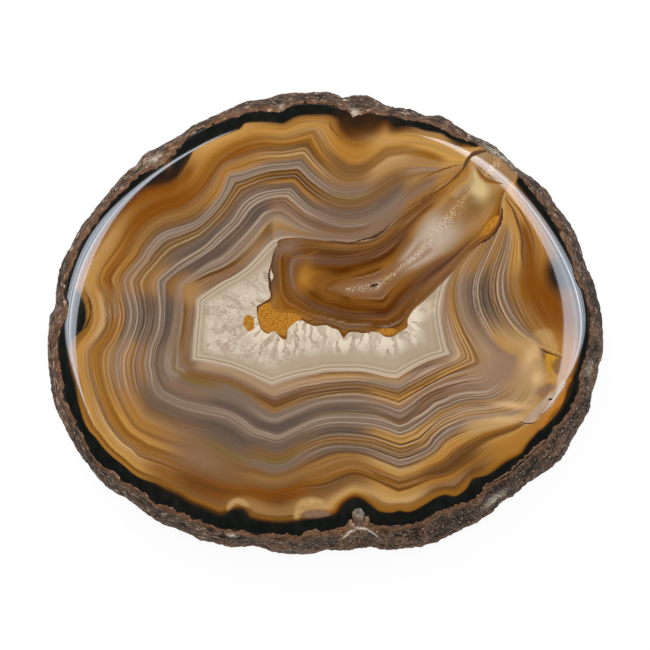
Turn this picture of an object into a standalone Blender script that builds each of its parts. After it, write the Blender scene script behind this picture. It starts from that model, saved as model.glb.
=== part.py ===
"""Polished agate slice: a thick sawn slab of one nodule, lying on its flat sawn back.

The polished face is gently domed and rolls down at its border. Outside it the rough rind bulges
out to the girth, then tucks in to the sawn back. Lengths in the lists and constants are millimetres,
turned into metres as the mesh is made. +X runs along the slice, +Y across it, +Z out of the face.
"""

import math

import bmesh
import bpy
import numpy as np
from mathutils import Matrix, Vector

MM = 0.001

# Driving dimensions, in millimetres
FACE_HEIGHT = 20.0  # middle of the polished face above the sawn back
GIRTH_HEIGHT = 9.0  # where the rind bulges out furthest
DOME_DROP = 0.9  # fall of the broad dome from the middle to the border
ROLL_DROP = 1.7  # extra fall of the rolled border
ROLL_WIDTH = 2.6  # how far in from the edge the roll dies away
BACK_INSET = 2.6  # how far the sawn back's outline lies inside the girth
RIND_START_ANGLE = 38.0  # slope of the rind where it leaves the face, in degrees
BACK_END_ANGLE = 62.0  # how far round the lower flank turns before the saw cut, in degrees

COLUMNS = 228
FACE_RINGS = (0.24, 0.46, 0.64, 0.78, 0.88, 0.94, 0.975)
FLANK_ROWS = (0.035, 0.09, 0.17, 0.25, 0.33, 0.41, 0.49, 0.58, 0.67, 0.76, 0.86, 0.94)

GIRTH_SWELL = 1.5  # how far the girth rises at the back of the slice and falls at its front
LUMP_DEPTH = 0.8  # broad hollows and swellings of the rind
RIB_DEPTH = 0.42  # wrinkles that run along the rind
RIBS_DOWN_FLANK = 3.4
GRAIN_DEPTH = 0.34  # crumbly grain, set vertex by vertex
GRAIN_SEED = 17
RELIEF_FADE_TOP = 0.09  # share of the flank over which the relief grows from the face's edge
RELIEF_FADE_BACK = 0.06  # and dies away before the saw cut

KNOB_LEAN = 18.0  # degrees that the knobs tip outwards
SHARP_ANGLE = 40.0  # edges sharper than this, in degrees, are not shaded smooth

STONE_COLOUR = (0.34, 0.19, 0.075, 1.0)
POLISH_ROUGHNESS = 0.1

# The slice was drawn as it looks from 12 degrees off the vertical, on the plane of the face's middle.
# A line that lies lower spreads a little and shifts up the drawing as it is carried down to its height.
SPREAD_PER_MM = 0.0014
SHIFT_PER_MM = 0.2126

# Edge of the polished face, anticlockwise from the right
FACE_EDGE = (
    (56.0, 0.7), (55.5, 3.2), (55.0, 4.9), (53.6, 7.5), (52.9, 10.7), (51.9, 13.6), (50.9, 16.2),
    (49.7, 18.9), (48.4, 21.1), (46.8, 23.8), (45.0, 26.0), (42.9, 28.8), (40.3, 31.5), (37.7, 34.0),
    (34.5, 36.2), (31.5, 37.9), (28.0, 39.1), (24.0, 41.5), (20.0, 42.8), (15.0, 43.8), (10.0, 44.5),
    (8.0, 44.3), (6.1, 43.5), (4.6, 45.0), (1.0, 46.4), (-5.0, 46.7), (-8.0, 45.8), (-10.0, 44.9),
    (-13.0, 45.1), (-16.0, 44.8), (-20.0, 43.4), (-25.8, 41.3), (-28.5, 40.1), (-30.2, 38.1),
    (-33.4, 35.6), (-35.1, 33.6), (-38.6, 31.3), (-40.2, 30.5), (-43.6, 27.1), (-46.9, 23.4),
    (-50.4, 18.4), (-52.2, 15.6), (-53.7, 11.8), (-54.7, 9.0), (-55.4, 6.5), (-55.5, 4.0),
    (-54.9, 2.4), (-55.2, -0.4), (-56.5, -4.3), (-56.9, -6.8), (-56.1, -12.0), (-55.4, -17.2),
    (-53.3, -22.1), (-51.3, -26.2), (-48.8, -30.6), (-47.0, -32.6), (-44.5, -33.6), (-42.9, -35.5),
    (-38.9, -37.9), (-34.8, -40.8), (-30.0, -42.8), (-25.1, -44.7), (-18.8, -46.2), (-12.0, -47.0),
    (-5.7, -47.5), (-2.0, -46.2), (0.0, -46.6), (3.5, -45.7), (9.5, -45.0), (15.0, -45.2),
    (20.0, -44.3), (23.2, -42.4), (27.7, -40.9), (30.5, -40.0), (33.7, -37.0), (38.5, -34.5),
    (42.8, -30.7), (46.8, -27.2), (50.8, -22.0), (53.3, -17.2), (54.0, -13.1), (55.2, -9.0),
    (56.0, -5.1),
)

# Outline of the rind, anticlockwise from the right
RIND_OUTLINE = (
    (58.9, -0.1), (58.0, 3.2), (57.2, 5.7), (56.7, 7.6), (55.4, 10.7), (53.1, 17.4), (50.0, 22.8),
    (46.8, 27.1), (43.0, 30.5), (39.5, 33.6), (35.5, 37.1), (31.0, 39.1), (27.0, 41.6), (24.5, 42.8),
    (20.0, 44.0), (13.0, 45.5), (9.0, 47.4), (6.0, 47.6), (3.9, 47.2), (1.5, 48.0), (-2.0, 48.5),
    (-6.0, 48.4), (-13.0, 47.1), (-20.0, 45.3), (-25.0, 42.8), (-28.0, 41.3), (-32.0, 38.4),
    (-35.0, 37.0), (-37.5, 34.9), (-39.7, 32.6), (-42.5, 30.1), (-45.0, 28.0), (-47.2, 25.3),
    (-50.0, 21.5), (-52.0, 19.4), (-54.7, 14.5), (-56.8, 10.3), (-57.4, 4.3), (-57.2, 0.8),
    (-58.3, -1.0), (-59.2, -6.5), (-58.6, -11.5), (-57.8, -16.7), (-54.8, -24.6), (-51.6, -30.3),
    (-47.7, -35.2), (-42.0, -39.1), (-38.0, -42.4), (-35.0, -44.7), (-30.0, -46.3), (-25.0, -48.2),
    (-20.3, -49.2), (-14.5, -49.4), (-10.0, -50.7), (-7.0, -51.1), (-4.0, -51.1), (0.0, -50.0),
    (5.0, -50.1), (9.0, -49.7), (14.0, -49.9), (20.0, -49.1), (25.0, -47.6), (29.9, -45.1),
    (32.7, -43.9), (36.1, -41.3), (38.7, -38.8), (41.7, -36.7), (45.4, -34.1), (49.9, -30.1),
    (53.2, -24.6), (56.1, -20.0), (56.8, -15.9), (58.9, -8.7), (59.2, -5.7),
)

# Single forms of the rind: angle round the slice, share of the way down the flank, spread along
# and down the flank, and how far it stands out (below zero, how deep it goes)
RIND_FORMS = (
    (-81.5, 0.34, 3.4, 0.16, -2.1),  # hollow under the knob
    (-86.0, 0.13, 1.8, 0.06, 0.5),  # left limb of the arch over the hollow
    (-77.0, 0.13, 1.8, 0.06, 0.5),  # right limb of the arch
    (-46.0, 0.30, 4.5, 0.10, 0.7),  # crusted ridge
    (-38.0, 0.55, 3.0, 0.14, -0.9),
    (-111.0, 0.22, 2.2, 0.09, 0.6),  # pale crust bump
    (-126.0, 0.55, 4.0, 0.13, -1.0),
    (-150.0, 0.40, 5.0, 0.10, 0.5),
    (-179.0, 0.45, 1.6, 0.40, -0.7),  # step in the outline
    (163.0, 0.60, 4.0, 0.16, -0.9),
    (138.0, 0.25, 3.0, 0.12, 0.6),  # crust
    (112.0, 0.60, 4.5, 0.16, -1.0),
    (84.0, 0.18, 1.8, 0.10, 0.5),  # pale crust over the dark spot
    (60.0, 0.55, 4.0, 0.15, -0.8),
    (35.0, 0.60, 3.0, 0.16, -0.7),
    (8.0, 0.42, 3.6, 0.12, 0.5),
    (-18.0, 0.62, 4.0, 0.14, -1.0),
)

# Knobs of rough quartz that stand on the rolled border: place, length, width, height, turn
KNOBS = (
    ((7.0, -43.0), 4.2, 2.7, 2.3, 92.0),
    ((9.2, -44.2), 1.9, 1.4, 1.3, 60.0),
    ((5.0, -44.5), 1.8, 1.3, 1.2, 120.0),
)


def clear_scene():
    for obj in list(bpy.data.objects):
        bpy.data.objects.remove(obj, do_unlink=True)


def carried_to(points, height):
    """The drawn points as they lie at this height above the sawn back."""
    below = FACE_HEIGHT - height
    drawn = np.array(points, float) * (1 + SPREAD_PER_MM * below)
    drawn[:, 1] += SHIFT_PER_MM * below
    return drawn


def radius_round(points, angles):
    """Distance from the middle to a closed outline at each angle, with its corners eased."""
    corner_angles = np.arctan2(points[:, 1], points[:, 0])
    corner_radii = np.hypot(points[:, 0], points[:, 1])
    order = np.argsort(corner_angles)
    radii = np.interp(angles, corner_angles[order], corner_radii[order], period=2 * math.pi)
    return 0.5 * radii + 0.25 * (np.roll(radii, 1) + np.roll(radii, -1))


def face_height(inset, share):
    """Height of the polished face, this far in from its edge and at this share of the way out."""
    return FACE_HEIGHT - DOME_DROP * share**2 - ROLL_DROP * np.exp(-inset / ROLL_WIDTH)


def flank_profile(share, edge_height):
    """How far out to the girth (0 to 1), how far in below it (0 to 1), and the height."""
    if share <= 0.5:
        start = math.radians(RIND_START_ANGLE)
        turn = start + (math.pi / 2 - start) * share / 0.5
        out = (math.sin(turn) - math.sin(start)) / (1 - math.sin(start))
        height = GIRTH_HEIGHT + (edge_height - GIRTH_HEIGHT) * math.cos(turn) / math.cos(start)
        return out, 0.0, height
    end = math.radians(BACK_END_ANGLE)
    turn = end * (share - 0.5) / 0.5
    tuck = (1 - math.cos(turn)) / (1 - math.cos(end))
    return 1.0, tuck, GIRTH_HEIGHT * (1 - math.sin(turn) / math.sin(end))


def rind_relief(angles, share, grain):
    """Hollows, wrinkles, grain and single forms of the rind, as a push outwards."""
    lumps = (
        np.sin(7 * angles + 3.1 * share + 0.6)
        + np.sin(13 * angles - 5.0 * share + 2.2)
        + np.sin(23 * angles + 7.0 * share + 4.0)
    ) / 3
    drift = 0.8 * np.sin(5 * angles + 1.0) + 0.6 * np.sin(11 * angles + 3.0)
    ribs = np.sin(2 * math.pi * RIBS_DOWN_FLANK * share + drift)
    relief = LUMP_DEPTH * (lumps - 0.2) / 2 + RIB_DEPTH * ribs / 2 - GRAIN_DEPTH * grain
    for middle, down, spread, spread_down, push in RIND_FORMS:
        apart = np.degrees(angles) - middle
        apart = (apart + 180) % 360 - 180
        near = np.exp(-((apart / spread) ** 2) - ((share - down) / spread_down) ** 2)
        relief = relief + push * near
    fade = min(1.0, share / RELIEF_FADE_TOP) * min(1.0, (1 - share) / RELIEF_FADE_BACK)
    return relief * fade


def ring_points(radii, angles, heights):
    return np.stack([radii * np.cos(angles), radii * np.sin(angles), heights], axis=1)


def slice_rings():
    """Closed rings of the slab from the middle of the face to the sawn back's outline."""
    angles = np.linspace(-math.pi, math.pi, COLUMNS, endpoint=False)
    edge_height = FACE_HEIGHT - DOME_DROP - ROLL_DROP
    edge = radius_round(carried_to(FACE_EDGE, edge_height), angles)
    girth = radius_round(carried_to(RIND_OUTLINE, GIRTH_HEIGHT), angles)
    rings = []
    for share in FACE_RINGS + (1.0,):
        rings.append(ring_points(share * edge, angles, face_height((1 - share) * edge, share)))
    draws = np.random.default_rng(GRAIN_SEED)
    for share in FLANK_ROWS:
        out, tuck, height = flank_profile(share, edge_height)
        radii = edge + (girth - edge) * out - BACK_INSET * tuck
        radii = radii + rind_relief(angles, share, draws.random(COLUMNS))
        swell = GIRTH_SWELL * np.sin(angles) * math.sin(math.pi * share)
        rings.append(ring_points(radii, angles, height + swell))
    rings.append(ring_points(girth - BACK_INSET, angles, np.zeros(COLUMNS)))
    return rings


def centred(rings):
    """The rings moved so that the box round them is centred over the origin."""
    points = np.concatenate(rings)
    middle = (points.min(axis=0) + points.max(axis=0)) / 2
    middle[2] = 0.0
    return [ring - middle for ring in rings], middle


def add_slab(rings, collection, material):
    body = bmesh.new()
    top = body.verts.new((0.0, 0.0, FACE_HEIGHT * MM))
    loops = [[body.verts.new(point * MM) for point in ring] for ring in rings]
    for left in range(COLUMNS):
        right = (left + 1) % COLUMNS
        body.faces.new((top, loops[0][left], loops[0][right]))
        for upper, lower in zip(loops, loops[1:]):
            body.faces.new((upper[left], lower[left], lower[right], upper[right]))
    body.faces.new(reversed(loops[-1]))
    mesh = bpy.data.meshes.new("agate_slice")
    body.to_mesh(mesh)
    body.free()
    mesh.shade_smooth()
    mesh.set_sharp_from_angle(angle=math.radians(SHARP_ANGLE))
    slab = bpy.data.objects.new("agate_slice", mesh)
    collection.objects.link(slab)
    mesh.materials.append(material)
    return slab


def add_knob(number, place, length, width, height, turn, shift, collection):
    """A faceted knob, half sunk into the border and leaning out with it."""
    x, y = carried_to([place], FACE_HEIGHT - DOME_DROP - ROLL_DROP)[0] - shift[:2]
    border_height = FACE_HEIGHT - DOME_DROP - 0.6 * ROLL_DROP
    mesh = bpy.data.meshes.new(f"knob_{number}")
    body = bmesh.new()
    bmesh.ops.create_icosphere(body, subdivisions=2, radius=0.5)
    matrix = (
        Matrix.Translation(Vector((x, y, border_height)) * MM)
        @ Matrix.Rotation(math.radians(turn), 4, "Z")
        @ Matrix.Rotation(math.radians(KNOB_LEAN), 4, "Y")
        @ Matrix.Diagonal((length * MM, width * MM, height * MM, 1.0))
    )
    body.transform(matrix)
    body.to_mesh(mesh)
    body.free()
    knob = bpy.data.objects.new(f"knob_{number}", mesh)
    knob.hide_render = True
    knob.display_type = "WIRE"
    collection.objects.link(knob)
    return knob


def fuse(slab, knob):
    joint = slab.modifiers.new(knob.name, "BOOLEAN")
    joint.operation = "UNION"
    joint.solver = "EXACT"
    joint.object = knob


def agate_material():
    material = bpy.data.materials.new("polished_agate")
    material.use_nodes = True
    shader = material.node_tree.nodes["Principled BSDF"]
    shader.inputs["Base Color"].default_value = STONE_COLOUR
    shader.inputs["Roughness"].default_value = POLISH_ROUGHNESS
    shader.inputs["Metallic"].default_value = 0.0
    return material


def main():
    clear_scene()
    slice_parts = bpy.data.collections.new("polished_agate_slice")
    helpers = bpy.data.collections.new("knob_forms")
    bpy.context.scene.collection.children.link(slice_parts)
    bpy.context.scene.collection.children.link(helpers)
    rings, shift = centred(slice_rings())
    slab = add_slab(rings, slice_parts, agate_material())
    for number, (place, length, width, height, turn) in enumerate(KNOBS, start=1):
        fuse(slab, add_knob(number, place, length, width, height, turn, shift, helpers))


main()
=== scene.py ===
import math

import bpy
import numpy as np
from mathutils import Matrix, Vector


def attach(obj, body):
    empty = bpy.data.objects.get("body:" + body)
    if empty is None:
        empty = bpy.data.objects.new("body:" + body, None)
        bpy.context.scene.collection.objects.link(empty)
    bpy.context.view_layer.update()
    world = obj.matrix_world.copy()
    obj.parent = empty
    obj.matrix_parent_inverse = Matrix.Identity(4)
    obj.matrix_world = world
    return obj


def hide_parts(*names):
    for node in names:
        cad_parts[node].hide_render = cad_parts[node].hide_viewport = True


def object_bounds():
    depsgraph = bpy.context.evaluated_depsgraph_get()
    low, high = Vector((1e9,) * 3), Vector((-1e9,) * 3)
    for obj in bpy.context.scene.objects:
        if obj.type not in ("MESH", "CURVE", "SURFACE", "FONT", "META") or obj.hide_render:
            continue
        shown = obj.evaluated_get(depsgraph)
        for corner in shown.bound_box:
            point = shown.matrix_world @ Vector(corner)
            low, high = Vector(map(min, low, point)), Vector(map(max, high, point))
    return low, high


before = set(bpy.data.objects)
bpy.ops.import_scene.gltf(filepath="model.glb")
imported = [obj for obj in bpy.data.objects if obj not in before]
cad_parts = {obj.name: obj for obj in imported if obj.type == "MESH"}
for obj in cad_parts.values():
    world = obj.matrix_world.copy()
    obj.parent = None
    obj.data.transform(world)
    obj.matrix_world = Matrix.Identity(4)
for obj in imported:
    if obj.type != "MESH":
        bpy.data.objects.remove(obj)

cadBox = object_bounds()
mm = 0.001
print("frame loaded")

# The slice is drawn in millimetres as the camera sees it, on the plane of the face's middle.
# drawing["middle"] is where the middle of the slice's box lies on that drawing.
drawing = {"middle": (0.131, 1.227), "plane": 20.0}
view = {
    "lens": 180.0,
    "sensor": 36.0,
    "distance": 700.0,
    "elevation": 78.0,
    "lookAt": (-0.24, -1.33, 10.0),
}


def eyePlace():
    # the camera's place over the drawing: out from (0, 0, 10) at the view's elevation
    lift = math.radians(view["elevation"])
    return -view["distance"] * math.cos(lift), 10.0 + view["distance"] * math.sin(lift)


eyeY, eyeZ = eyePlace()


def onSlice(points, height):
    # carries drawn points along their lines of sight to this height, in the slice's own frame
    p = np.array(points, float)
    reach = (eyeZ - height) / (eyeZ - drawing["plane"])
    x = p[:, 0] * reach - drawing["middle"][0]
    y = eyeY + (p[:, 1] - eyeY) * reach - drawing["middle"][1]
    return np.stack([x, y], 1)


def onDrawing(x, y, z):
    # the way back: where a point of the slice lies on the drawing
    reach = (eyeZ - drawing["plane"]) / (eyeZ - z)
    drawnX = (x + drawing["middle"][0]) * reach
    drawnY = eyeY + (y + drawing["middle"][1] - eyeY) * reach
    return drawnX, drawnY


# Lines of the drawing

# edge of the polished face
faceEdge = [
    (56.0, 0.7), (55.5, 3.2), (55.0, 4.9), (53.4, 7.5), (52.9, 10.7), (51.9, 13.6), (50.9, 16.2),
    (49.7, 18.9), (48.4, 21.1), (46.8, 23.8), (45.0, 26.0), (42.9, 28.8), (40.3, 31.5), (37.7, 34.0),
    (34.5, 36.2), (31.5, 37.9), (28.0, 39.1), (24.0, 41.5), (20.0, 42.8), (17.5, 43.0), (15.0, 43.8),
    (12.5, 44.0), (10.0, 44.5), (8.0, 44.3), (6.1, 43.5), (4.6, 45.0), (3.0, 45.5), (1.0, 46.4),
    (-1.0, 46.8), (-5.0, 46.7), (-8.0, 45.8), (-10.0, 44.9), (-13.0, 45.1), (-16.0, 44.8),
    (-20.0, 43.4), (-23.0, 42.3), (-25.8, 41.3), (-28.5, 40.1), (-30.2, 38.1), (-33.4, 35.6),
    (-35.1, 33.6), (-38.6, 31.3), (-40.2, 30.5), (-43.6, 27.1), (-46.9, 23.4), (-50.4, 18.4),
    (-52.2, 15.6), (-53.7, 11.8), (-54.7, 9.0), (-55.4, 6.5), (-55.5, 4.0), (-54.9, 2.4),
    (-55.2, -0.4), (-55.9, -2.6), (-56.5, -4.3), (-56.9, -6.8), (-56.7, -9.2), (-56.1, -12.0),
    (-55.4, -17.2), (-54.4, -19.6), (-53.3, -22.1), (-51.3, -26.2), (-48.8, -30.6), (-47.0, -32.6),
    (-44.5, -33.6), (-42.9, -35.5), (-40.7, -36.7), (-38.9, -37.9), (-36.7, -39.7), (-34.8, -40.8),
    (-32.1, -41.6), (-30.0, -42.8), (-25.1, -44.7), (-22.2, -45.8), (-18.8, -46.2), (-15.0, -47.0),
    (-12.0, -47.0), (-8.0, -47.2), (-5.7, -47.5), (-4.0, -46.7), (-2.0, -46.2), (0.0, -46.6),
    (3.5, -45.7), (9.5, -45.0), (12.0, -45.3), (15.0, -45.2), (18.0, -45.0), (20.0, -44.3),
    (23.2, -42.4), (25.5, -41.5), (27.7, -40.9), (30.5, -40.0), (32.2, -38.4), (33.7, -37.0),
    (36.0, -35.8), (38.5, -34.5), (40.7, -32.5), (42.8, -30.7), (45.0, -28.5), (46.8, -27.2),
    (48.2, -24.8), (50.8, -22.0), (53.3, -17.2), (54.0, -13.1), (55.2, -9.0), (56.0, -5.1),
]

# outline of the rind
rindOutline = [
    (58.9, -0.1), (58.0, 3.2), (57.2, 5.7), (56.7, 7.6), (55.4, 10.7), (54.3, 14.5), (53.1, 17.4),
    (51.7, 20.1), (50.0, 22.8), (48.2, 25.1), (46.8, 27.1), (45.0, 28.9), (43.0, 30.5), (41.3, 31.6),
    (39.5, 33.6), (37.7, 35.5), (35.5, 37.1), (33.5, 38.0), (31.0, 39.1), (29.0, 40.5), (27.0, 41.6),
    (24.5, 42.8), (22.0, 43.0), (20.0, 44.0), (17.5, 45.0), (13.0, 45.5), (11.0, 46.5), (9.0, 47.4),
    (6.0, 47.6), (4.5, 47.2), (3.5, 47.2), (1.5, 48.0), (-2.0, 48.5), (-6.0, 48.4), (-10.0, 47.7),
    (-13.0, 47.1), (-17.0, 46.4), (-20.0, 45.3), (-25.0, 42.8), (-28.0, 41.3), (-30.0, 39.9),
    (-32.0, 38.4), (-35.0, 37.0), (-37.5, 34.9), (-39.5, 32.9), (-40.2, 31.9), (-42.5, 30.1),
    (-45.0, 28.0), (-47.2, 25.3), (-50.0, 21.5), (-52.0, 19.4), (-53.7, 16.4), (-54.7, 14.5),
    (-56.8, 10.3), (-57.3, 8.2), (-57.4, 4.3), (-57.2, 0.8), (-58.3, -1.0), (-58.9, -4.3),
    (-59.2, -6.5), (-59.1, -8.7), (-58.6, -11.5), (-58.0, -14.5), (-57.8, -16.7), (-57.1, -19.7),
    (-54.8, -24.6), (-52.8, -28.4), (-51.6, -30.3), (-49.9, -32.6), (-47.7, -35.2), (-45.0, -37.4),
    (-42.0, -39.1), (-40.1, -40.5), (-38.0, -42.4), (-35.0, -44.7), (-32.0, -45.8), (-30.0, -46.3),
    (-27.5, -47.4), (-25.0, -48.2), (-20.3, -49.2), (-14.5, -49.4), (-12.5, -50.0), (-10.0, -50.7),
    (-7.0, -51.1), (-4.0, -51.1), (0.0, -50.0), (2.0, -49.8), (5.0, -50.1), (9.0, -49.7),
    (11.0, -50.0), (14.0, -49.9), (17.0, -49.4), (20.0, -49.1), (22.9, -48.4), (25.0, -47.6),
    (29.9, -45.1), (32.7, -43.9), (34.8, -42.3), (37.0, -40.0), (38.7, -38.8), (39.8, -38.4),
    (41.7, -36.7), (45.4, -34.1), (47.9, -32.1), (49.9, -30.1), (51.3, -27.6), (53.2, -24.6),
    (55.0, -22.1), (56.1, -20.0), (56.8, -15.9), (57.8, -11.5), (58.9, -8.7), (59.2, -5.7),
]

# The bands fold round the quartz. Each line below is one growth line, from the canal's left side
# anticlockwise to its right side; a point given twice is a sharp fold. The canal at the upper
# right lets them all out to the rim, so each ends beyond the edge there.
canalLeft = [(36.4, 39.5), (33.0, 36.4), (31.2, 34.4)]
canalRight = [(38.9, 27.6), (40.6, 29.6), (43.5, 33.5)]

blackRim = [
    (36.5, 40.0), (33.2, 37.2), (31.5, 37.2), (30.7, 37.5), (28.4, 38.0), (26.6, 38.9), (25.0, 39.9),
    (23.2, 40.3), (21.4, 40.6), (19.3, 41.3), (17.2, 41.6), (15.0, 41.3), (14.3, 42.0), (13.3, 42.8),
    (12.0, 42.7), (10.5, 41.2), (9.0, 39.7), (7.0, 39.4), (5.0, 39.8), (3.7, 41.3), (2.7, 43.3),
    (0.5, 44.1), (-2.0, 44.1), (-5.0, 44.0), (-7.0, 43.4), (-9.0, 42.2), (-11.0, 42.3),
    (-14.0, 42.4), (-17.2, 42.1), (-18.2, 40.9), (-20.0, 40.1), (-24.0, 38.4), (-28.0, 36.2),
    (-28.7, 35.2), (-29.4, 33.6), (-30.8, 31.4), (-32.4, 29.9), (-34.0, 29.2), (-36.0, 28.9),
    (-37.6, 28.6), (-39.2, 28.1), (-41.6, 25.9), (-44.3, 23.0), (-46.9, 19.8), (-49.1, 16.4),
    (-50.9, 13.0), (-52.3, 10.2), (-53.2, 7.8), (-53.5, 5.8), (-52.2, 4.3),
    (-51.3, 2.5), (-50.9, 0.0), (-51.2, -2.2), (-52.0, -3.8), (-53.2, -4.8), (-54.5, -6.5),
    (-54.6, -9.0), (-54.0, -12.0), (-53.0, -15.0), (-52.4, -18.0), (-51.3, -22.1), (-50.0, -24.8),
    (-48.4, -26.5), (-46.8, -28.6), (-44.9, -30.5), (-42.4, -32.5), (-40.2, -34.4), (-38.1, -35.5),
    (-35.7, -36.3), (-33.8, -37.4), (-31.1, -38.8), (-28.4, -40.6), (-25.7, -41.7), (-22.5, -43.1),
    (-20.9, -42.8), (-19.6, -42.0), (-17.7, -41.7), (-16.6, -42.5), (-15.8, -43.6), (-12.0, -44.5),
    (-8.0, -44.6), (-5.0, -44.1), (-2.0, -43.6), (0.0, -43.3), (2.2, -42.8), (3.5, -40.8),
    (5.0, -39.6), (6.5, -39.2), (8.0, -39.7), (9.5, -40.8), (11.0, -42.0), (12.0, -42.3),
    (14.0, -42.4), (15.5, -42.0), (17.0, -42.3), (18.5, -42.0), (20.0, -41.2), (21.5, -40.3),
    (23.0, -39.3), (25.0, -38.6), (27.0, -39.0), (28.4, -38.4), (29.7, -37.2), (30.4, -35.9),
    (31.2, -35.1), (34.0, -34.5), (36.0, -33.2), (38.0, -31.8), (40.0, -30.8), (41.5, -29.8),
    (42.5, -28.1), (43.9, -26.4), (45.3, -24.9), (46.8, -23.5), (48.3, -21.8), (49.9, -19.5),
    (50.8, -17.4), (51.6, -15.1), (52.8, -13.0), (53.8, -10.0), (54.3, -6.0), (54.4, -2.0),
    (54.2, 2.0), (53.3, 5.2), (51.5, 6.4), (49.5, 6.5), (48.2, 8.0), (48.2, 10.0), (49.5, 11.5),
    (50.1, 13.0), (49.0, 17.0), (47.5, 20.0), (45.5, 23.0), (43.5, 25.8), (41.9, 27.9),
    (41.0, 29.8), (43.6, 33.5),
]

umberLine = canalLeft + [
    (30.6, 33.4), (28.6, 33.3), (25.5, 33.6), (20.0, 35.5), (14.1, 35.0), (12.2, 33.9), (9.4, 31.9),
    (7.0, 31.1), (4.2, 31.4), (1.5, 33.6), (-0.7, 35.9), (-2.0, 38.4), (-2.7, 40.1), (-2.7, 40.1),
    (-6.2, 39.0), (-9.5, 38.4), (-13.0, 38.7), (-16.6, 38.1), (-20.0, 36.8), (-23.0, 34.5),
    (-25.5, 31.0), (-28.0, 27.6), (-31.5, 25.2), (-35.0, 24.0), (-38.1, 22.3), (-39.8, 20.9),
    (-42.0, 18.6), (-43.6, 15.6), (-45.6, 12.7), (-47.3, 10.3), (-48.2, 8.2), (-48.2, 8.2),
    (-48.0, 6.5), (-46.9, 4.3), (-46.4, 1.8), (-46.2, -0.4), (-46.6, -2.6), (-47.8, -4.8),
    (-49.4, -6.8), (-50.0, -8.7), (-49.9, -11.5), (-49.2, -14.8), (-48.3, -18.0), (-46.5, -22.4),
    (-44.8, -25.1), (-42.9, -27.3), (-40.7, -28.9), (-39.0, -30.6), (-35.0, -32.0), (-30.0, -34.0),
    (-25.0, -36.0), (-20.0, -37.5), (-15.0, -38.0), (-10.0, -38.5), (-5.0, -37.0), (0.0, -36.5),
    (5.0, -34.3), (8.0, -34.6), (11.5, -36.0), (15.3, -37.8), (15.3, -37.8), (18.0, -37.0),
    (22.0, -35.5), (26.0, -34.5), (30.0, -31.8), (35.0, -28.0), (39.5, -25.9), (43.0, -23.6),
    (46.0, -20.0), (48.3, -16.0), (49.0, -12.0), (48.6, -8.0), (47.4, -4.0), (46.0, 0.0),
    (44.7, 4.0), (43.8, 8.0), (43.5, 12.0), (42.9, 16.0), (41.8, 20.0), (40.4, 23.5), (39.1, 26.5),
] + canalRight

greyLine = canalLeft + [
    (30.5, 33.0), (28.6, 32.7), (26.0, 32.3), (22.9, 31.9), (20.0, 31.9), (16.3, 31.3), (13.5, 30.2),
    (10.8, 28.5), (8.1, 27.1), (4.2, 26.6), (1.2, 27.4), (-1.5, 29.4), (-4.0, 31.9), (-5.4, 33.5),
    (-5.4, 33.5), (-8.4, 33.0), (-12.5, 32.6), (-15.2, 31.9), (-17.7, 31.0), (-20.7, 30.5),
    (-20.7, 30.5), (-21.8, 27.1), (-24.0, 23.7), (-27.1, 20.6), (-30.2, 19.2), (-33.8, 18.1),
    (-36.0, 16.7), (-36.0, 16.7), (-37.9, 14.2), (-39.0, 12.0), (-41.7, 9.0), (-42.6, 7.3),
    (-42.6, 7.3), (-42.2, 5.1), (-41.4, 2.3), (-41.1, 0.0), (-41.4, -2.6), (-42.6, -6.0),
    (-43.9, -8.4), (-43.9, -8.4), (-44.1, -11.5), (-43.5, -15.0), (-42.1, -18.2), (-40.6, -21.0),
    (-38.7, -23.5), (-35.2, -24.9), (-31.2, -26.5), (-27.0, -27.6), (-24.4, -28.6), (-20.0, -31.0),
    (-17.0, -32.0), (-14.7, -32.4), (-12.0, -33.3), (-9.4, -33.4), (-6.7, -32.2), (-5.0, -30.8),
    (-2.6, -29.2), (0.0, -28.1), (2.7, -27.7), (4.9, -27.8), (8.4, -28.3), (11.6, -29.5),
    (15.5, -31.0), (15.5, -31.0), (17.7, -30.5), (20.5, -29.2), (21.9, -28.1), (23.0, -26.4),
    (25.0, -24.7), (27.9, -23.5), (31.2, -22.7), (35.0, -22.3), (40.0, -21.6), (43.2, -19.4),
    (45.0, -16.0), (45.8, -12.0), (45.6, -8.0), (44.3, -5.1), (43.3, -4.6), (41.4, -2.9),
    (39.6, -0.4), (38.3, 2.4), (37.6, 5.0), (37.6, 8.5), (38.4, 12.0), (39.2, 15.4), (39.5, 19.0),
    (39.2, 23.0), (38.7, 26.3),
] + canalRight

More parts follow.
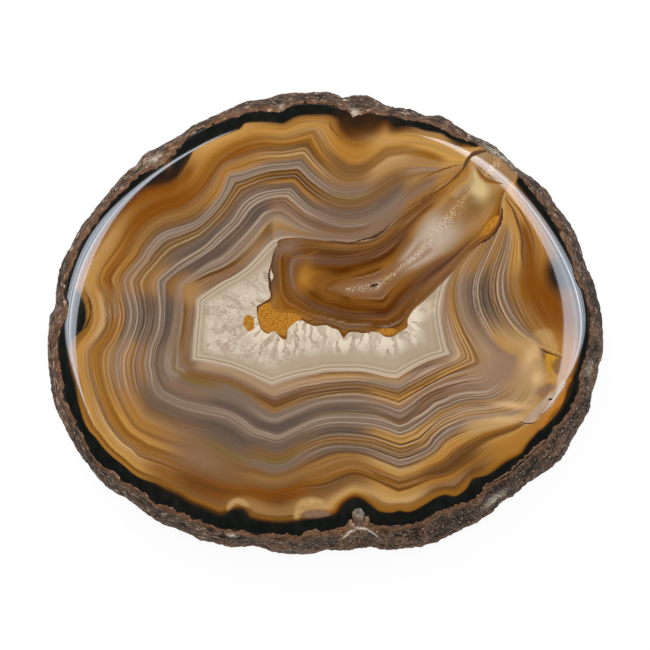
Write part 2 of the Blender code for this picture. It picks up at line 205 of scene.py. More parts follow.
whiteLine = canalLeft + [
    (30.4, 32.7), (28.4, 32.1), (26.0, 31.0), (22.0, 29.3), (18.1, 26.6), (16.2, 25.1), (13.5, 22.9),
    (10.0, 20.4), (8.1, 19.6), (5.3, 19.2), (2.6, 19.5), (0.0, 20.6), (-2.8, 22.9), (-5.0, 25.7),
    (-7.2, 28.3), (-7.2, 28.3), (-10.0, 28.0), (-12.9, 27.1), (-15.9, 25.4), (-17.8, 23.7),
    (-20.0, 20.3), (-22.9, 17.3), (-25.6, 14.5), (-30.0, 11.5), (-32.0, 9.8), (-34.8, 7.2),
    (-34.8, 7.2), (-34.6, 3.2), (-34.6, 0.0), (-35.0, -3.7), (-36.4, -7.3), (-36.9, -10.9),
    (-36.9, -10.9), (-36.0, -13.9), (-34.4, -16.4), (-34.4, -16.4), (-30.0, -18.6), (-25.0, -19.7),
    (-22.4, -20.2), (-20.0, -21.0), (-17.4, -22.5), (-14.8, -24.6), (-12.1, -25.5), (-10.2, -26.0),
    (-8.3, -25.4), (-5.1, -23.8), (-1.8, -22.1), (1.4, -21.4), (4.9, -21.3), (8.4, -21.6),
    (11.6, -22.4), (15.6, -23.8), (15.6, -23.8), (17.5, -23.0), (19.9, -21.0), (22.8, -18.5),
    (25.0, -17.8), (29.9, -16.6), (33.9, -16.3), (36.1, -15.1), (38.4, -12.6), (40.0, -9.5),
    (38.8, -9.0), (36.4, -7.3), (34.5, -4.8), (33.2, -2.1), (32.2, 1.0), (31.7, 4.0), (31.8, 7.1),
    (32.7, 10.7), (34.4, 14.6), (36.2, 18.2), (37.6, 22.0), (38.4, 26.0),
] + canalRight

paleLine = canalLeft + [
    (30.3, 32.5), (28.4, 31.8), (26.0, 30.2), (22.2, 28.0), (18.4, 25.5), (15.0, 23.4), (13.5, 21.8),
    (10.8, 19.6), (8.1, 18.1), (3.9, 17.6), (0.0, 17.8), (-2.8, 18.7), (-5.5, 20.1), (-7.7, 21.8),
    (-9.4, 22.9), (-9.4, 22.9), (-11.3, 22.8), (-13.2, 22.1), (-15.1, 19.8), (-17.8, 16.7),
    (-21.9, 13.0), (-25.5, 11.0), (-28.6, 8.6), (-30.6, 6.5), (-30.6, 6.5), (-31.3, 3.6),
    (-31.6, 0.0), (-32.1, -3.2), (-33.1, -7.3), (-33.8, -10.4), (-33.8, -10.4), (-33.1, -12.6),
    (-30.6, -13.7), (-26.4, -15.0), (-23.2, -16.1), (-20.0, -17.4), (-17.5, -18.3), (-14.8, -20.5),
    (-12.6, -22.0), (-10.7, -22.4), (-8.6, -21.6), (-5.1, -20.2), (-1.8, -18.9), (1.4, -18.3),
    (4.9, -18.2), (8.4, -18.4), (11.6, -19.1), (15.6, -20.5), (15.6, -20.5), (17.5, -19.4),
    (20.0, -17.4), (22.8, -15.7), (25.0, -14.9), (29.9, -13.7), (32.7, -13.4), (34.5, -11.0),
    (34.6, -8.7), (32.6, -5.9), (31.0, -3.2), (29.9, -0.4), (29.3, 2.4), (29.0, 5.0), (29.4, 7.9),
    (30.4, 10.7), (32.6, 14.2), (35.0, 17.2), (36.8, 20.2), (37.7, 23.5), (38.3, 26.0),
] + canalRight

oliveLine = canalLeft + [
    (30.3, 32.4), (28.4, 31.6), (26.1, 29.5), (22.5, 27.2), (19.0, 24.9), (15.5, 22.3), (12.5, 19.6),
    (10.0, 18.0), (6.0, 17.0), (3.0, 16.9), (0.0, 17.1), (-3.0, 17.5), (-6.0, 18.4), (-8.5, 19.6),
    (-10.2, 20.4), (-10.2, 20.4), (-11.8, 19.0), (-15.0, 15.0), (-20.0, 10.3), (-25.0, 8.2),
    (-30.0, 6.2), (-30.0, 6.2), (-30.3, 0.0), (-31.0, -6.0), (-31.9, -11.7), (-31.9, -11.7),
    (-28.0, -12.8), (-24.0, -13.8), (-20.0, -15.2), (-15.0, -18.0), (-10.8, -20.4), (-10.8, -20.4),
    (-8.0, -19.4), (-5.0, -18.2), (0.0, -17.0), (5.0, -16.4), (10.0, -16.8), (15.5, -18.5),
    (15.5, -18.5), (20.0, -15.8), (25.0, -13.0), (29.0, -11.3), (31.7, -10.1), (31.7, -10.1),
    (30.5, -7.0), (29.0, -3.8), (28.0, -1.0), (27.3, 2.0), (27.1, 5.0), (27.6, 8.0), (28.8, 11.0),
    (31.4, 13.9), (33.9, 15.8), (36.0, 18.4), (37.3, 21.5), (37.9, 24.5), (38.2, 26.4),
] + canalRight

# the lobe meets the quartz along the same line above and at the lower right
lobeRoof = canalLeft + [
    (30.3, 32.3), (28.3, 31.3), (26.4, 28.8), (24.9, 27.6), (22.8, 26.4), (20.0, 24.2), (17.4, 22.3),
    (15.0, 20.6), (12.7, 18.1), (10.8, 17.0), (8.9, 16.2), (5.3, 16.0), (2.6, 16.2), (0.0, 16.3),
    (-2.9, 16.6),
]
lobeHeel = [
    (28.5, 11.0), (29.9, 13.0), (31.4, 14.3), (32.9, 15.6), (34.7, 16.5), (35.9, 18.0), (37.1, 20.2),
    (37.4, 22.0), (37.6, 24.2), (38.2, 26.5),
] + canalRight

quartzLine = lobeRoof + [
    (-5.6, 17.0), (-8.3, 17.0), (-11.3, 16.2), (-11.3, 16.2), (-13.0, 14.4),
    (-15.1, 12.0), (-17.1, 10.1), (-19.9, 8.2), (-21.7, 7.3), (-25.2, 4.9), (-27.3, 3.3),
    (-27.3, 3.3), (-27.3, 0.6), (-27.7, -4.0), (-28.1, -9.7), (-28.1, -9.7), (-25.0, -10.1),
    (-22.7, -10.6), (-20.0, -11.3), (-17.0, -12.5), (-15.0, -13.4), (-11.3, -15.0), (-11.3, -15.0),
    (-9.9, -14.4), (-6.7, -13.4), (-5.0, -13.0), (-2.1, -12.5), (0.0, -12.0), (5.0, -11.9),
    (7.7, -12.0), (10.0, -12.4), (13.0, -13.1), (15.1, -13.3), (15.1, -13.3), (16.5, -12.4),
    (18.8, -11.1), (22.2, -9.5), (26.2, -8.4), (26.2, -8.4), (25.5, -7.1), (25.0, -5.2),
    (24.6, -2.9), (24.2, 0.0), (24.4, 2.5), (24.8, 4.4), (25.3, 6.3), (26.9, 9.0),
] + lobeHeel

# The lobe reaches in from the canal. Its lines run from the canal's left side round its tip.
lobeEdge = lobeRoof + [
    (-5.6, 16.9), (-8.3, 16.8), (-10.2, 16.2), (-10.3, 14.8), (-11.2, 12.7),
    (-11.7, 10.1), (-11.1, 8.2), (-12.2, 6.3), (-11.6, 4.0), (-13.2, 2.8), (-14.4, 1.7),
    (-14.6, 0.4), (-14.4, -0.8), (-13.9, -2.7), (-13.0, -3.8), (-12.1, -4.2), (-10.9, -3.6),
    (-9.3, -5.2), (-8.3, -5.3), (-7.9, -3.1), (-6.5, -1.7), (-5.3, -1.2), (-3.7, -2.0),
    (-2.3, -2.5), (0.0, -2.3), (1.3, -2.9), (2.7, -3.4), (3.8, -5.1), (5.0, -3.9), (6.6, -3.8),
    (8.2, -4.1), (9.3, -3.8), (11.2, -3.8), (12.6, -4.8), (14.2, -4.8), (15.8, -3.8), (17.4, -2.7),
    (17.5, -1.0), (18.8, 1.1), (20.4, 2.5), (22.3, 4.2), (25.0, 7.0), (26.8, 8.9),
] + lobeHeel

lobeOrange = canalLeft + [
    (30.6, 31.6), (28.8, 29.9), (27.0, 28.0), (24.8, 26.6), (22.5, 25.2), (19.8, 23.0), (17.0, 20.9),
    (14.5, 18.8), (12.0, 16.6), (10.0, 15.6), (7.0, 15.1), (3.0, 15.3), (-1.0, 15.6), (-5.0, 15.6),
    (-8.0, 14.4), (-9.5, 12.5), (-9.5, 10.6), (-9.4, 7.8), (-9.0, 4.9), (-7.9, 3.0), (-6.0, 2.0),
    (-4.4, 0.9), (0.0, -0.5), (2.7, -1.2), (5.0, -1.7), (8.4, -2.0), (12.8, -2.4), (12.8, -2.4),
    (14.6, -1.7), (16.5, -0.5), (17.6, 1.1), (19.5, 3.3), (21.5, 5.2), (24.0, 7.6), (26.5, 10.0),
    (28.5, 12.2), (30.8, 14.6), (32.8, 16.2), (34.6, 17.4), (36.0, 19.6), (36.9, 22.5),
    (37.4, 25.4), (38.0, 27.0),
] + canalRight

lobeMauve = canalLeft + [
    (30.6, 30.8), (28.6, 29.0), (26.6, 27.0), (24.2, 25.4), (21.5, 23.4), (18.8, 20.8), (16.6, 18.6),
    (14.5, 16.4), (12.0, 14.7), (9.5, 13.4), (6.6, 12.5), (3.0, 12.1), (0.0, 12.2), (-3.5, 12.8),
    (-6.0, 12.9), (-7.4, 11.6), (-7.7, 9.5), (-7.4, 7.4), (-6.6, 4.9), (-4.6, 2.9), (-2.0, 1.4),
    (0.0, 0.7), (3.0, -0.1), (6.0, -0.5), (9.6, -0.6), (12.9, -0.6), (12.9, -0.6), (14.8, 0.9),
    (17.0, 3.2), (19.5, 5.6), (22.3, 8.0), (25.0, 10.2), (27.4, 12.4), (29.6, 14.6), (32.0, 17.0),
    (33.8, 19.0), (35.4, 21.4), (36.6, 24.0), (37.4, 27.0),
] + canalRight

lobeUmber = canalLeft + [
    (30.6, 30.3), (28.4, 28.4), (26.0, 26.0), (23.0, 23.8), (20.2, 21.6), (18.2, 19.2), (16.2, 16.6),
    (14.5, 14.4), (12.4, 12.8), (10.0, 11.7), (7.0, 10.8), (3.8, 10.3), (0.0, 10.2), (-3.0, 9.9),
    (-4.9, 9.0), (-5.4, 7.6), (-4.6, 6.0), (-2.8, 4.0), (0.0, 2.6), (2.7, 1.7), (6.0, 1.0),
    (9.6, 0.9), (12.8, 0.9), (12.8, 0.9), (14.2, 2.2), (16.0, 4.1), (18.5, 6.5), (21.0, 8.7),
    (23.5, 10.6), (26.0, 12.3), (28.7, 14.4), (31.0, 17.0), (33.0, 19.4), (34.8, 22.0),
    (35.8, 24.6), (36.8, 27.5),
] + canalRight

lobePink = canalLeft + [
    (30.8, 29.8), (28.2, 27.8), (26.2, 25.6), (24.6, 24.0), (22.2, 22.4), (20.4, 20.2), (19.2, 17.7),
    (17.6, 14.7), (15.3, 11.9), (11.9, 9.5), (8.4, 8.2), (5.0, 7.5), (2.2, 6.4), (0.6, 5.6),
    (0.6, 5.6), (3.8, 4.7), (6.1, 3.9), (9.6, 3.6), (12.0, 3.5), (12.0, 3.5), (13.0, 4.9),
    (14.9, 7.0), (16.5, 8.5), (18.8, 9.8), (21.1, 10.9), (25.7, 13.5), (28.6, 15.8), (30.5, 18.0),
    (32.2, 20.4), (34.2, 23.0), (35.0, 26.0), (36.2, 28.0),
] + canalRight

lobeDruse = [
    (4.6, 5.3), (5.4, 5.4), (7.9, 5.6), (10.3, 6.2), (12.8, 7.7), (14.6, 8.9), (16.7, 10.8),
    (19.0, 12.7), (21.1, 15.0), (23.7, 18.4), (26.3, 21.4), (28.0, 23.4), (29.6, 25.4), (32.0, 28.0),
    (35.0, 31.5), (38.5, 35.5),
]

# middle line of the quartz crystals, round the lobe from its upper left to its right
crystalLine = [
    (-12.5, 14.5), (-15.5, 9.5), (-18.5, 4.5), (-19.5, -1.0), (-16.5, -6.0), (-11.0, -8.5),
    (-4.0, -8.2), (4.0, -7.6), (11.0, -8.2), (17.0, -7.2), (21.3, -3.5), (22.3, 1.5), (22.8, 5.0),
]

bandLines = [
    faceEdge, blackRim, umberLine, greyLine, whiteLine, paleLine, oliveLine, quartzLine,
]
lobeContours = [lobeEdge, lobeOrange, lobeMauve, lobeUmber, lobePink]


def smoothLine(points, closed=True, steps=4):
    # Catmull-Rom: each stretch is a cubic through its ends, with slopes from the neighbours.
    # A stretch of no length, where a point is given twice, is dropped, which keeps the fold sharp.
    p = np.array(points, float)
    if closed:
        before, after, beyond = np.roll(p, 1, 0), np.roll(p, -1, 0), np.roll(p, -2, 0)
    else:
        before = np.concatenate([p[:1], p[:-2]])
        after, beyond = p[1:], np.concatenate([p[2:], p[-1:]])
        ends, p = p[-1:], p[:-1]
    t = (np.arange(steps) / steps)[None, :, None]
    a, b, c, d = before[:, None], p[:, None], after[:, None], beyond[:, None]
    curve = 0.5 * (
        2 * b + (c - a) * t + (2 * a - 5 * b + 4 * c - d) * t**2 + (3 * b - 3 * c + d - a) * t**3
    )
    curve = curve[np.hypot(*(after - p).T) > 1e-6].reshape(-1, 2)
    return curve if closed else np.concatenate([curve, ends])


def nearestOn(line, x, y, closed):
    # distance to a polyline, and how far along it the nearest point lies
    a = line
    b = np.roll(line, -1, 0) if closed else line[1:]
    a = a[: len(b)]
    lengths = np.hypot(*(b - a).T)
    starts = np.concatenate([[0.0], np.cumsum(lengths)[:-1]])
    best = np.full(x.shape, 1e9)
    along = np.zeros(x.shape)
    for (ax, ay), (bx, by), length, start in zip(a, b, lengths, starts):
        ex, ey = (bx - ax) / length, (by - ay) / length
        t = np.clip((x - ax) * ex + (y - ay) * ey, 0, length)
        apart = (x - ax - ex * t) ** 2 + (y - ay - ey * t) ** 2
        nearer = apart < best
        best = np.where(nearer, apart, best)
        along = np.where(nearer, start + t, along)
    return np.sqrt(best), along


def isInside(line, x, y):
    # counts how often a ray to the right crosses the closed line
    inside = np.zeros(x.shape, bool)
    for (ax, ay), (bx, by) in zip(line, np.roll(line, -1, 0)):
        if ay != by:
            crosses = (y >= min(ay, by)) & (y < max(ay, by))
            inside ^= crosses & (x < ax + (y - ay) * (bx - ax) / (by - ay))
    return inside


def depthIn(points, x, y):
    # distance to a closed line, positive inside it
    line = smoothLine(points)
    apart, _ = nearestOn(line, x, y, True)
    return np.where(isInside(line, x, y), apart, -apart)


def levelsBetween(depths, lastDepth):
    # k inside line k, rising to k + 1 at the next line in, by the ratio of the two distances
    level = np.zeros(depths[0].shape)
    for k, depth in enumerate(depths):
        inner = np.abs(depths[k + 1]) if k + 1 < len(depths) else lastDepth
        share = np.clip(depth / np.maximum(depth + inner, 1e-6), 0, 1)
        level = np.where(depth > 0, k + share, level)
    return level


def radiusRound(points, angles):
    # distance from the middle to a closed outline, at each angle
    line = smoothLine(points)
    turn = np.arctan2(line[:, 1], line[:, 0])
    order = np.argsort(turn)
    return np.interp(angles, turn[order], np.hypot(*line.T)[order], period=2 * math.pi)


def latticeNoise(u, v, cellsU, cellsV, seed):
    # random values on a lattice, blended with a smooth step; it closes on itself along u
    values = np.random.default_rng(seed).random((cellsU, cellsV + 2)) * 2 - 1
    pu, pv = (u % 1) * cellsU, np.clip(v, 0, 1) * cellsV
    iu, iv = np.floor(pu).astype(int), np.floor(pv).astype(int)
    fu, fv = pu - iu, pv - iv
    fu, fv = fu * fu * (3 - 2 * fu), fv * fv * (3 - 2 * fv)
    nextU = (iu + 1) % cellsU
    iu = iu % cellsU
    low = values[iu, iv] * (1 - fu) + values[nextU, iv] * fu
    high = values[iu, iv + 1] * (1 - fu) + values[nextU, iv + 1] * fu
    return low * (1 - fv) + high * fv


def spot(x, y, place, size, turn=0.0):
    # a soft oval: exp of minus the squared distance in its own turned axes
    c, s = math.cos(math.radians(turn)), math.sin(math.radians(turn))
    dx, dy = x - place[0], y - place[1]
    return np.exp(-(((dx * c + dy * s) / size[0]) ** 2) - (((dy * c - dx * s) / size[1]) ** 2))


# Colours by name, as they look on a screen from 0 to 255
tones = {
    "black": (22, 26, 26),
    "soot": (52, 37, 24),
    "chestnut": (96, 50, 8),
    "espresso": (80, 52, 28),
    "umber": (110, 72, 32),
    "bronze": (124, 78, 20),
    "rust": (140, 82, 18),
    "walnut": (116, 82, 46),
    "gold": (160, 110, 38),
    "copper": (148, 98, 42),
    "amber": (188, 134, 58),
    "honey": (208, 162, 88),
    "flame": (222, 146, 52),
    "peach": (250, 212, 158),
    "yolk": (220, 164, 40),
    "butter": (226, 204, 152),
    "sand": (208, 172, 116),
    "tan": (180, 140, 90),
    "caramel": (160, 119, 68),
    "clay": (150, 109, 72),
    "brown": (138, 101, 60),
    "plum": (118, 82, 60),
    "mauve": (147, 120, 102),
    "rose": (166, 136, 114),
    "taupe": (120, 101, 88),
    "slate": (102, 90, 84),
    "grey": (136, 119, 106),
    "ash": (160, 142, 127),
    "olive": (136, 110, 62),
    "sage": (148, 133, 112),
    "cream": (182, 156, 126),
    "milk": (204, 188, 172),
    "white": (240, 234, 224),
}


def linear(tone):
    # screen colour to linear light
    c = np.array(tones[tone] if isinstance(tone, str) else tone, float) / 255
    rgb = np.where(c <= 0.04045, c / 12.92, ((c + 0.055) / 1.055) ** 2.4)
    return tuple(rgb) + (1.0,)


class Link:
    # wraps a socket, so that maths on it can be written as an expression
    def __init__(self, desk, socket):
        self.desk, self.socket = desk, socket

    def maths(self, operation, a, b):
        return self.desk.node("ShaderNodeMath", {"operation": operation}, {0: a, 1: b})

    def __add__(self, other):
        return self.maths("ADD", self, other)

    def __radd__(self, other):
        return self.maths("ADD", other, self)

    def __sub__(self, other):
        return self.maths("SUBTRACT", self, other)

    def __rsub__(self, other):
        return self.maths("SUBTRACT", other, self)

    def __mul__(self, other):
        return self.maths("MULTIPLY", self, other)

    def __rmul__(self, other):
        return self.maths("MULTIPLY", other, self)

    def __truediv__(self, other):
        return self.maths("DIVIDE", self, other)

    def step(self, low, high):
        # 0 below low, 1 above high, smooth between; high may be the smaller one
        settings = {"interpolation_type": "SMOOTHSTEP"}
        inputs = {0: self, 1: low, 2: high, 3: 0.0, 4: 1.0}
        if low > high:
            inputs = {0: self, 1: high, 2: low, 3: 1.0, 4: 0.0}
        return self.desk.node("ShaderNodeMapRange", settings, inputs)

    def upTo(self, most):
        return self.maths("MINIMUM", self, most)


class Desk:
    # one material's node tree
    def __init__(self, name):
        self.material = bpy.data.materials.new(name)
        self.material.use_nodes = True
        self.tree = self.material.node_tree
        self.shader = self.tree.nodes["Principled BSDF"]

    def node(self, kind, settings, inputs, out=0):
        made = self.tree.nodes.new(kind)
        for name, value in settings.items():
            if name == "stops":
                self.fillRamp(made.color_ramp, value)
            else:
                setattr(made, name, value)
        for key, value in inputs.items():
            self.feed(made.inputs[key], value)
        return Link(self, made.outputs[out])

    def feed(self, socket, value):
        if isinstance(value, Link):
            self.tree.links.new(value.socket, socket)
        else:
            socket.default_value = value

    def fillRamp(self, ramp, stops):
        while len(ramp.elements) > 1:
            ramp.elements.remove(ramp.elements[-1])
        ramp.elements[0].position, ramp.elements[0].color = stops[0]
        for place, colour in stops[1:]:
            ramp.elements.new(place).color = colour

    def attribute(self, name, out="Fac"):
        return self.node("ShaderNodeAttribute", {"attribute_name": name}, {}, out)

    def place(self, stretch=(1000, 1000, 1000)):
        # where a point lies on the slice, in millimetres unless stretched otherwise
        return self.scaled(self.node("ShaderNodeTexCoord", {}, {}, "Object"), stretch)

    def mix(self, share, a, b, blend="MIX"):
        settings = {"data_type": "RGBA", "blend_type": blend}
        return self.node("ShaderNodeMix", settings, {0: share, 6: a, 7: b}, 2)

    def vector(self, operation, a, b):
        return self.node("ShaderNodeVectorMath", {"operation": operation}, {0: a, 1: b})

    def scaled(self, vector, amounts):
        return self.vector("MULTIPLY", vector, amounts)

    def joined(self, x, y, z):
        return self.node("ShaderNodeCombineXYZ", {}, {0: x, 1: y, 2: z})

    def noise(self, vector, scale, detail=2.0, rough=0.5, warp=0.0):
        inputs = {"Vector": vector, "Scale": scale, "Detail": detail, "Roughness": rough}
        inputs["Distortion"] = warp
        return self.node("ShaderNodeTexNoise", {}, inputs, 0)

    def cells(self, vector, scale, feature="F1", out="Distance"):
        inputs = {"Vector": vector, "Scale": scale}
        return self.node("ShaderNodeTexVoronoi", {"feature": feature}, inputs, out)

    def ramp(self, value, stops):
        return self.node("ShaderNodeValToRGB", {"stops": stops}, {0: value})

    def threads(self, level, lines):
        # thin lines as (colour, strength): each fades from none to its full strength and back
        stops = []
        for middle, tone, strength, half in lines:
            colour = linear(tone)[:3]
            stops += [(middle - half, colour + (0,)), (middle, colour + (strength,))]
            stops += [(middle + half, colour + (0,))]
        return self.chain(level, sorted(stops))

    def chain(self, level, stops):
        # a ramp holds 32 stops, so many are shared out over several ramps in a row
        colour, share, perRamp = None, None, 30
        for first in range(0, len(stops), perRamp):
            part = stops[max(first - 1, 0):first + perRamp + 1]
            a, b = part[0][0], part[-1][0]
            spread = [((place - a) / (b - a), tone) for place, tone in part]
            made = self.ramp((level - a) / (b - a), spread)
            alpha = Link(self, made.socket.node.outputs["Alpha"])
            if colour is None:
                colour, share = made, alpha
                continue
            later = level.maths("GREATER_THAN", level, a)
            colour = self.mix(later, colour, made)
            share = share * (1 - later) + alpha * later
        return colour, share

    def finish(self, colour, roughness, normal=None, **values):
        self.feed(self.shader.inputs["Base Color"], colour)
        self.feed(self.shader.inputs["Roughness"], roughness)
        if normal is not None:
            self.feed(self.shader.inputs["Normal"], normal)
        for name, value in values.items():
            self.shader.inputs[name.replace("_", " ")].default_value = value
        return self.material

    def bump(self, height, strength, distance):
        inputs = {"Strength": strength, "Distance": distance, "Height": height}
        return self.node("ShaderNodeBump", {}, inputs)


# The slab: polished face, hidden wall inside the rind, sawn back

slab = {
    "faceCells": 264,
    "backCells": 132,
    "height": 20.0,
    "domeDrop": 0.9,
    "rollDrop": 1.75,
    "rollWidth": 2.7,
    "edgeHeight": 17.5,
    "backInset": 2.9,
    "body": (0.84, 0.77, 0.70),  # tint over all the stone's colours
    "rindThickness": 2.2,
    "girthHeight": 9.0,
    "roundShape": 8,  # slow waves kept of the outline, for the rolled border
    "outlineSteps": 1440,
    "furthestOut": -1.2,  # beyond the edge the roll goes on only this far
    "wallShare": 0.985,
    "wallDrop": 1.2,
    "heartDepth": 8.0,  # stands in for the distance to a line inside the last band line
    # how deep each whole level lies, in mm, for the fine lines' even spacing
    "bandDepths": (-3, 0, 5.5, 10.5, 16.5, 19.3, 21, 24.5, 30),
    "lobeDepths": (0, 2, 4, 6, 9, 12),
}


def smoothRound(points, angles, waves):
    # the outline with only its slow waves kept, for a border that rolls evenly
    steps = slab["outlineSteps"]
    even = np.linspace(-math.pi, math.pi, steps, endpoint=False)
    spectrum = np.fft.rfft(radiusRound(points, even))
    spectrum[waves:] = 0
    return np.interp(angles, even, np.fft.irfft(spectrum, steps), period=2 * math.pi)


def discGrid(cells):
    # a square grid rounded into a disc: x = u sqrt(1 - v^2 / 2) and the same with u and v swapped
    side = np.linspace(-1, 1, cells + 1)
    u, v = np.meshgrid(side, side, indexing="ij")
    x, y = u * np.sqrt(1 - v * v / 2), v * np.sqrt(1 - u * u / 2)
    return x.ravel(), y.ravel()


def gridFaces(cells, first, turned):
    # quads over a square grid of vertices, numbered from first; turned ones face down
    n = cells + 1
    i = np.arange(cells)[:, None] * n + np.arange(cells)[None, :] + first
    quads = np.stack([i, i + n, i + n + 1, i + 1], -1).reshape(-1, 4)
    return quads[:, ::-1] if turned else quads


def gridBorder(cells, first):
    # the border's vertices in order, anticlockwise from above
    n = cells + 1
    bottom = np.arange(cells) * n
    right = cells * n + np.arange(cells)
    top = cells * n + cells - np.arange(cells) * n
    left = cells - np.arange(cells)
    return np.concatenate([bottom, right, top, left]) + first


faceLine = onSlice(faceEdge, slab["edgeHeight"])
rindLine = onSlice(rindOutline, slab["girthHeight"])


def faceHeight(x, y):
    # a broad dome, h - d s^2, less a roll that fades inwards as exp(-inset / width)
    angles, reach = np.arctan2(y, x), np.hypot(x, y)
    edge = smoothRound(faceLine, angles, slab["roundShape"])
    inset = np.maximum(edge - reach, slab["furthestOut"])
    share = reach / edge
    roll = slab["rollDrop"] * np.exp(-inset / slab["rollWidth"])
    return slab["height"] - slab["domeDrop"] * share**2 - roll


def backRadius(angles):
    # the sawn back's outline lies this much inside the girth
    return radiusRound(rindLine, angles) - slab["backInset"]


def slabPoints():
    # the face and the back are both discs stretched to their outlines
    x, y = discGrid(slab["faceCells"])
    angles = np.arctan2(y, x)
    reach = np.hypot(x, y) * radiusRound(faceLine, angles)
    faceX, faceY = reach * np.cos(angles), reach * np.sin(angles)
    face = np.stack([faceX, faceY, faceHeight(faceX, faceY)], 1)
    x, y = discGrid(slab["backCells"])
    angles = np.arctan2(y, x)
    reach = np.hypot(x, y) * (backRadius(angles) - slab["rindThickness"])
    back = np.stack([reach * np.cos(angles), reach * np.sin(angles), np.zeros(len(x))], 1)
    return face, back


def slabMesh():
    face, back = slabPoints()
    rim = gridBorder(slab["faceCells"], 0)
    foot = gridBorder(slab["backCells"], len(face))
    # a wall drops from the face's edge to just above the back, a little inside the rind
    inner = face[rim] * (slab["wallShare"], slab["wallShare"], 1.0) - (0, 0, slab["wallDrop"])
    points = np.concatenate([face, back, inner])
    wall = np.arange(len(rim)) + len(face) + len(back)
    wallNext, rimNext, footNext = np.roll(wall, -1), np.roll(rim, -1), np.roll(foot, -1)
    upper = np.stack([rim, wall, wallNext, rimNext], 1)
    middle, end = wall[1::2], np.roll(wall[0::2], -1)
    faces = gridFaces(slab["faceCells"], 0, False).tolist()
    faces += gridFaces(slab["backCells"], len(face), True).tolist()
    faces += upper.tolist()
    faces += np.stack([wall[0::2], foot, middle], 1).tolist()
    faces += np.stack([middle, foot, footNext], 1).tolist()
    faces += np.stack([middle, footNext, end], 1).tolist()
    return points, faces, len(face), len(back)


def newPiece(name, points, faces, material):
    mesh = bpy.data.meshes.new(name)
    mesh.from_pydata((points * mm).tolist(), [], faces)
    mesh.shade_smooth()
    mesh.materials.append(material)
    piece = bpy.data.objects.new(name, mesh)
    bpy.context.scene.collection.objects.link(piece)
    return piece


def store(piece, name, values):
    # a number or a colour for every vertex, for the material to read
    colour = values.ndim == 2
    made = piece.data.attributes.new(name, "FLOAT_COLOR" if colour else "FLOAT", "POINT")
    made.data.foreach_set("color" if colour else "value", values.astype(np.float32).ravel())


